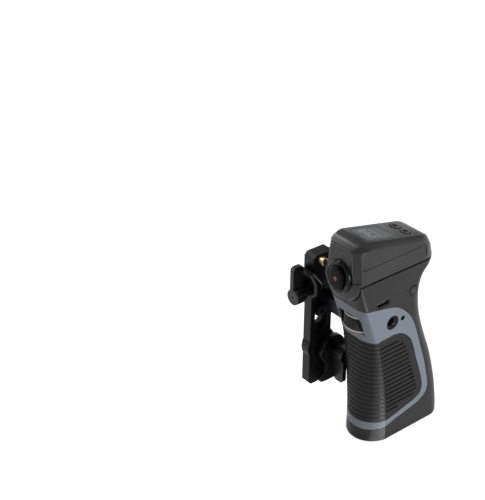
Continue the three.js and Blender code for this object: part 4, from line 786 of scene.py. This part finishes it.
def panel_point(s, t, slots):
    """A point of the panel, its outward direction and groove depth; s runs round it, t upward."""
    side = 1 if s >= 0 else -1
    a = abs(s)
    if a > FRONT_SHARE:
        u = (a - FRONT_SHARE) / (1 - FRONT_SHARE)
        y = FLAT_FROM + (PANEL_END - FLAT_FROM) * (1 - (1 - u) ** CROWDING)
        low, high = at_y(PANEL_EDGE, y)
        z = low + (high - low) * t
        return Vector((side * GRIP_HALF, y, z)), Vector((side, 0, 0)), rib_depth(y, z, low, high, slots)
    share = a / FRONT_SHARE
    low, high = at_y(PANEL_EDGE, front_point(side, share, MIDDLE_HEIGHT)[0].y)
    z = low + (high - low) * t
    p, n = front_point(side, share, z)
    return p, n, rib_depth(p.y, z, low, high, slots)


def panel():
    """A skin over the front and both sides, trimmed to the panel's outline, with grooves pressed in."""
    slots = slot_ends()
    outer = [panel_point(-1 + 2 * c / PANEL_COLUMNS, r / PANEL_ROWS, slots)
             for c in range(PANEL_COLUMNS + 1) for r in range(PANEL_ROWS + 1)]
    points = [p - n * d for p, n, d in outer] + [p - n * SKIN for p, n, d in outer]
    count = len(outer)

    def at(c, r):
        return c * (PANEL_ROWS + 1) + r

    def wall(a, b):
        """A face of the rim, from the outer skin to the inner one."""
        return (a, b, count + b, count + a)

    faces = []
    for c in range(PANEL_COLUMNS):
        for r in range(PANEL_ROWS):
            a, b, e, f = at(c, r), at(c + 1, r), at(c + 1, r + 1), at(c, r + 1)
            faces += [(a, b, e, f), (count + f, count + e, count + b, count + a)]
        faces += [wall(at(c + 1, 0), at(c, 0)), wall(at(c, PANEL_ROWS), at(c + 1, PANEL_ROWS))]
    for r in range(PANEL_ROWS):
        faces += [wall(at(0, r), at(0, r + 1)), wall(at(PANEL_COLUMNS, r + 1), at(PANEL_COLUMNS, r))]
    made = add_mesh("rubber_panel_fine", points, faces, 60)
    face_out(made)
    shade(made, 12)
    finish_with(made, "ribbed_rubber", "grip", "rubber_panel")


# ---------------------------------------------------------------- head
def head_row(share):
    """Widths below and above, rise and edge slant of the head at a share of its length."""
    pick = curve_at if share > HEAD_TAIL else line_at
    lift = curve_at if share < HEAD_FACE_END or share > HEAD_TAIL else line_at
    return (pick(HEAD_ROWS, share, 1) * HEAD_HALF, pick(HEAD_ROWS, share, 2) * HEAD_HALF,
            lift(HEAD_ROWS, share, 3) * HEAD_RISE, pick(HEAD_ROWS, share, 4) * NOSE_CHAMFER)


def head_section(share, inset, floor, y=None):
    """The head's upright section at a share of its length, set there or at another place along Y."""
    low, high, rise, bev = head_row(share)
    low, high = low - inset, max(high - inset, LEAST)
    top = GRIP_HEIGHT + rise - inset
    bev = min(bev, high * 0.9)
    line = [(-low, floor), (low, floor), (high, top - bev), (high - bev, top), (bev - high, top),
            (-high, top - bev)]
    place = HEAD_FRONT + inset + share * (HEAD_LENGTH - 2 * inset) if y is None else y
    return [(x, place, z) for x, z in line]


def head_shape():
    """The solid head, with a slight edge round its front face."""
    rings = [head_section(0, 0.0, GRIP_HEIGHT), head_section(0, 0.0, GRIP_HEIGHT, y=HEAD_FRONT + 0.5),
             head_section(0.014, 0.0, GRIP_HEIGHT, y=HEAD_FRONT + 0.55)]
    made = loft("head_fine", rings + [head_section(share, 0.0, GRIP_HEIGHT) for share in HEAD_SHARES], 24)
    return settle(bevel(made, 0.25, 2, 14.0))


def head_side(y, z):
    """How far out the head's flank is at a place."""
    low, high, rise, bev = head_row((y - HEAD_FRONT) / HEAD_LENGTH)
    return low + (high - low) * (z - GRIP_HEIGHT) / (rise - bev)


def flank_line(side):
    """Tool for the step that borders the lower field of the head's flank."""
    turn_y, turn_z, turn_r = -2.7, 121.2, 2.0
    path = [(-47.6 + 44.9 * k / 12, 123.2) for k in range(13)]
    path += [(turn_y + turn_r * math.sin(math.radians(a)), turn_z + turn_r * math.cos(math.radians(a)))
             for a in (22, 45, 68, 90)]
    path += [(-0.7, 119.0), (-0.7, 116.6)]
    rings = []
    for k, (y, z) in enumerate(path):
        a, b = path[max(k - 1, 0)], path[min(k + 1, len(path) - 1)]
        run = Vector((b[0] - a[0], b[1] - a[1])).normalized()
        out = Vector((-run.y, run.x))
        x = head_side(y, z)
        rings.append([(side * (x + depth), y + out.x * n, z + out.y * n)
                      for n, depth in ((0.24, 0.6), (0.12, -0.45), (-1.5, 0.6))])
    return loft("tool", rings)


def laid_on_top(made):
    """The piece moved from the origin's plane to the head's slanted top."""
    turn = Matrix.Rotation(math.radians(-HEAD_SLOPE), 4, "X")
    made.data.transform(Matrix.Translation(Vector((0, HEAD_TOP_Y, GRIP_HEIGHT + HEAD_RISE)) * MM) @ turn)
    return made


def record_well(low, high):
    """Tool for the opening round the record button."""
    return tool(stadium(REC_Z, REC_W + REC_ROOM, REC_H + REC_ROOM), "Y", low, high)


# left, right, front, back and corner radius on the head's top
DISPLAY_SEAT, DISPLAY_HOLE = (-7.8, 7.8, 1.9, 22.5, 1.6), (-6.3, 6.3, 3.4, 21.0, 1.2)
SEAT_DEPTH, TOP_REACH, WELL_DEPTH = 1.3, 6, 4.4


def head():
    """The hollow head with its nose, display seat, key holes, flank steps and record well."""
    shape = head_shape()
    combine(shape, nose_tool(0.0, HEAD_FRONT, HEAD_FRONT + NOSE_DEPTH), "UNION")
    cut(shape, loft("hollow", [head_section(row[0], HEAD_WALL, GRIP_HEIGHT - 5) for row in HEAD_ROWS], 20),
        nose_tool(-HEAD_WALL, HEAD_FRONT + HEAD_WALL, HEAD_FRONT + NOSE_DEPTH + 5),
        laid_on_top(tool(rounded(*DISPLAY_SEAT), "Z", -SEAT_DEPTH, TOP_REACH)),
        laid_on_top(tool(rounded(*DISPLAY_HOLE), "Z", -TOP_REACH, TOP_REACH)))
    for side in (-1, 1):
        key_hole = tool(circle(side * KEY_X, KEY_V, KEY_HOLE_R), "Z", -TOP_REACH, TOP_REACH)
        cut(shape, laid_on_top(key_hole), flank_line(side))
    cut(shape, record_well(-70, HEAD_FRONT + WELL_DEPTH))
    shade(shape, 16)
    finish_with(shape, "dark_plastic", "grip", "head_housing", material=HEAD_PLASTIC)


SEGMENTS = {"0": "abcdef", "2": "abged", "4": "fgbc", "5": "afgcd"}
FIGURES, FIGURE_SIZE, FIGURE_PITCH = "2450", (1.9, 4.4, 0.42), 2.7
MARKS_LEFT, FIGURES_V, TICKS_V = -5.2, -10.6, -14.2
TICKS, TICK_PITCH, TICK_WIDTH, TICK_SHORT, TICK_LONG = 21, 0.52, 0.18, 0.9, 1.6


def display_marks():
    """Plain figures and a tick scale on the display, for a reader behind the grip."""
    points, faces = [], []

    def bar(u0, u1, v0, v1):
        start = len(points)
        for w in (0.0, 0.05):
            points.extend([(-u0, -v0, w), (-u1, -v0, w), (-u1, -v1, w), (-u0, -v1, w)])
        faces.extend([tuple(start + k for k in quad) for quad in (
            (4, 5, 6, 7), (3, 2, 1, 0), (0, 1, 5, 4), (1, 2, 6, 5), (2, 3, 7, 6), (3, 0, 4, 7))])

    def figure(which, u, v, wide, high, thick):
        mid = v + high / 2
        place = {"a": (u, u + wide, v + high - thick, v + high), "d": (u, u + wide, v, v + thick),
                 "g": (u, u + wide, mid - thick / 2, mid + thick / 2),
                 "f": (u, u + thick, mid, v + high), "e": (u, u + thick, v, mid),
                 "b": (u + wide - thick, u + wide, mid, v + high), "c": (u + wide - thick, u + wide, v, mid)}
        for k, segment in enumerate(SEGMENTS[which]):
            u0, u1, v0, v1 = place[segment]
            inset = 0.03 * (k % 2)  # so that no two bars share a face
            bar(u0 + inset, u1 - inset, v0 + inset, v1 - inset)

    for k, which in enumerate(FIGURES):
        figure(which, MARKS_LEFT + FIGURE_PITCH * k, FIGURES_V, *FIGURE_SIZE)
    for k in range(TICKS):
        tall = TICK_LONG if k % 5 == 0 else TICK_SHORT
        bar(MARKS_LEFT + TICK_PITCH * k, MARKS_LEFT + TICK_WIDTH + TICK_PITCH * k, TICKS_V, TICKS_V + tall)
    made = add_mesh("display_marks", points, faces)
    face_out(made)
    laid_on_top(made)
    pale = moulded("display_pale", (160, 162, 164), 0.4, 0.02)
    finish_with(made, "dark_glass", "grip", material=pale)


def power_mark():
    """A plain ring with a stroke on the power key."""
    low, high = 14.38, 14.43
    ring = arc(POWER_Y, PORT_Z, 1.05, 125, 415, 29) + arc(POWER_Y, PORT_Z, 0.8, 415, 125, 29)
    made = prism("power_mark", ring, "X", low, high)
    stroke = [(POWER_Y + u, PORT_Z + v) for u, v in ((-0.12, 0.3), (0.12, 0.3), (0.12, 1.25), (-0.12, 1.25))]
    combine(made, tool(stroke, "X", low, high), "UNION")
    pale = moulded("mark_pale", (96, 96, 97), 0.5, 0.02)
    finish_with(made, "black_plastic", "power_button", material=pale)


# growth of the cap's outline and place along Y of each ring, from its face back
CAP_RINGS = ((-1.3, -54.4), (-0.75, -54.35), (-0.3, -54.1), (0.0, -53.6), (0.0, -48.9))
FLANGE_WIDER, FLANGE_FRONT, FLANGE_BACK = 2.4, -48.7, -47.5
DOT_PROFILE = ((0, 0), (1.25, 0), (1.25, 0.1), (1.1, 0.14), (0, 0.16))
# half width, half height and place along Y of each ring of the rim, from its foot forward
RIM_RINGS = ((8.7, 9.75, -51.2), (8.7, 9.75, -52.1), (8.35, 9.4, -52.7), (7.8, 8.85, -52.95),
             (7.3, 8.35, -52.8))
RIM_STEPS, RIM_LIFT = 72, 0.2


def record_key():
    """The record button's domed cap, with a plain dot on it."""
    cap_rings = []
    for grow, y in CAP_RINGS:
        line = stadium(REC_Z, REC_W + 2 * grow, REC_H + 2 * grow, 28)
        cap_rings.append([(x, y, z) for x, z in line])
    cap = loft("record_key_fine", cap_rings, 30)
    flange = stadium(REC_Z, REC_W + FLANGE_WIDER, REC_H + FLANGE_WIDER)
    combine(cap, tool(flange, "Y", FLANGE_FRONT, FLANGE_BACK), "UNION")
    shade(cap, 30)
    finish_with(cap, "black_plastic", "record_key", "record_button", material=GLOSS_BLACK)
    dot = turned("record_mark", DOT_PROFILE, (0, CAP_RINGS[0][1], REC_Z), 40, "-Y")
    red = moulded("signal_red", (150, 40, 40), 0.4, 0.05)
    finish_with(dot, "black_plastic", "record_key", material=red)


def record_rim():
    """The oval rim round the record button."""
    turns = [2 * math.pi * k / RIM_STEPS for k in range(RIM_STEPS)]
    rings = [[(w * math.cos(a), y, REC_Z + RIM_LIFT + h * math.sin(a)) for a in turns]
             for w, h, y in RIM_RINGS]
    rim = loft("record_bezel_fine", rings, 40)
    cut(rim, record_well(-60, -40))
    shade(rim, 40)
    finish_with(rim, "dark_plastic", "grip", "record_bezel", material=RIM_BLACK)


# ---------------------------------------------------------------- wheel
KNURL_AROUND, KNURL_UP, KNURL_EACH = 252, 24, 6
KNURL_TOP, KNURL_DEPTH, KNURL_END_SHARE = 0.2, 0.55, 0.4


def wheel():
    """Two thin bright rings with a knurled band between them."""
    low = WHEEL_Z - WHEEL_H / 2
    half_ring = [(BOSS_R + 0.3, 0), (WHEEL_R - 0.3, 0), (WHEEL_R - 0.08, 0.1), (WHEEL_R, 0.28)]
    profile = half_ring + [(r, RING_H - h) for r, h in reversed(half_ring)]
    for side, z0 in (("lower", low), ("upper", low + WHEEL_H - RING_H)):
        ring = turned(f"ring_{side}_fine", profile, (0, WHEEL_Y, z0), 96)
        finish_with(ring, "champagne_metal", "thumb_wheel", f"wheel_ring_{side}")
    z0, z1 = low + RING_H, low + WHEEL_H - RING_H
    points = []
    for r in range(KNURL_UP + 1):
        for k in range(KNURL_AROUND):
            a = 2 * math.pi * k / KNURL_AROUND
            one = abs(((k + r) / KNURL_EACH % 1) - 0.5) * 2
            two = abs(((k - r) / KNURL_EACH % 1) - 0.5) * 2
            share = KNURL_END_SHARE if r in (0, KNURL_UP) else 1
            radius = WHEEL_R - KNURL_TOP - KNURL_DEPTH * (1 - min(one, two)) ** 1.5 * share
            z = z0 + (z1 - z0) * (r / KNURL_UP)
            points.append((radius * math.cos(a), WHEEL_Y + radius * math.sin(a), z))
    faces = bands(KNURL_AROUND, KNURL_UP + 1, KNURL_UP) + caps(KNURL_AROUND, KNURL_UP + 1)
    band = add_mesh("knurled_band_fine", points, faces, 20)
    cut(band, tool(circle(0, WHEEL_Y, 1.8, 32), "Z", low - 2, low + WHEEL_H + 2))
    shade(band, 20)
    finish_with(band, "knurled_band", "thumb_wheel", "wheel_core")


# ---------------------------------------------------------------- build everything
shells()
side_frame()
base()
panel()
insert("insert_outer", 1)
insert("insert_inner", -1)
head()
display_marks()
power_mark()
record_key()
record_rim()
wheel()

# ---------------------------------------------------------------- floor, light and camera, in metres
FLOOR_HALF, WALL_RADIUS, WALL_SIDES, WALL_FOOT, WALL_TOP = 6, 5, 48, -0.01, 1.3
WHITE = (1.0, 1.0, 1.0, 1.0)
WORLD_LEVEL = 0.32
MIDDLE, HEAD_MIDDLE = (0, -0.02, 0.07), (0, -0.045, 0.135)
# name, place, target, width of the disc and power
LAMPS = (
    ("key_right", (0.84, 0.04, 0.12), MIDDLE, 0.3, 4.8),
    ("top_soft", (0.1, 0.2, 1.0), MIDDLE, 0.6, 1.7),
    ("high_left", (-0.64, -0.12, 0.76), HEAD_MIDDLE, 0.42, 3.8),
    ("front_left", (-0.62, -0.5, 0.62), MIDDLE, 0.25, 0.9),
    ("front_soft", (-0.1, -0.9, 0.3), MIDDLE, 0.6, 0.3),
    ("fill_back", (0.45, 0.85, 0.2), MIDDLE, 0.6, 1.5),
    ("fill_left", (-0.8, 0.36, 0.12), MIDDLE, 0.5, 3.0),
)


def sheet(name, points, faces):
    """A surface of the stage."""
    mesh = bpy.data.meshes.new(name)
    mesh.from_pydata(points, [], faces)
    made = bpy.data.objects.new(name, mesh)
    bpy.context.scene.collection.objects.link(made)
    return made


def lit_card(name, dark, pale, specular, glow, seen):
    """Matt card that glows at one level in the light itself, and at another as it is seen."""
    card = Nodes(bpy.data.materials.new(name))
    card.put("Base Color", card.ramp(card.noise(2.0), (dark, dark, dark, 1), (pale, pale, pale, 1)))
    card.put("Roughness", 0.9)
    card.put("Specular IOR Level", specular)
    card.put("Emission Color", WHITE)
    card.put("Emission Strength", card.seen_level(glow, seen))
    return card.material


floor = sheet("floor", [(FLOOR_HALF * x, FLOOR_HALF * y, 0) for x, y in ((-1, -1), (1, -1), (1, 1), (-1, 1))],
              [(0, 1, 2, 3)])
floor.data.materials.append(lit_card("floor_paper", 0.34, 0.36, 0.1, 0.0, 0.86))

wall_turns = [2 * math.pi * k / WALL_SIDES for k in range(WALL_SIDES)]
wall = sheet("backdrop", [(WALL_RADIUS * math.cos(a), WALL_RADIUS * math.sin(a), z)
                          for z in (WALL_FOOT, WALL_TOP) for a in wall_turns], bands(WALL_SIDES, 2, 1))
wall.data.materials.append(lit_card("backdrop_card", 0.04, 0.05, 0.0, 0.3, 1.0))

world = bpy.data.worlds.new("studio")
bpy.context.scene.world = world
world.use_nodes = True
background = world.node_tree.nodes["Background"]
background.inputs["Color"].default_value = WHITE
background.inputs["Strength"].default_value = WORLD_LEVEL

for name, place, target, width, power in LAMPS:
    light = bpy.data.lights.new(name, "AREA")
    light.shape, light.size, light.energy = "DISK", width, power
    lamp = bpy.data.objects.new(name, light)
    lamp.location = place
    lamp.rotation_euler = (Vector(target) - Vector(place)).to_track_quat("-Z", "Y").to_euler()
    bpy.context.scene.collection.objects.link(lamp)

CAMERA_PLACE, CAMERA_LENS, CAMERA_SENSOR = (375.451, -409.503, 429.404), 82.8, 36.0
AZIMUTH, ELEVATION = math.radians(52), math.radians(30)
camera_data = bpy.data.cameras.new("camera")
camera_data.lens, camera_data.sensor_width = CAMERA_LENS, CAMERA_SENSOR
camera_data.clip_start, camera_data.clip_end = 0.01, 50
camera = bpy.data.objects.new("camera", camera_data)
bpy.context.scene.collection.objects.link(camera)
right = Vector((math.cos(AZIMUTH), math.sin(AZIMUTH), 0))
toward = Vector((math.sin(AZIMUTH) * math.cos(ELEVATION), -math.cos(AZIMUTH) * math.cos(ELEVATION),
                 math.sin(ELEVATION)))
camera_turn = Matrix((right, toward.cross(right), toward)).transposed().to_4x4()
camera.matrix_world = Matrix.Translation(Vector(CAMERA_PLACE) * MM) @ camera_turn
bpy.context.scene.camera = camera
bpy.context.scene.view_settings.view_transform = "Standard"
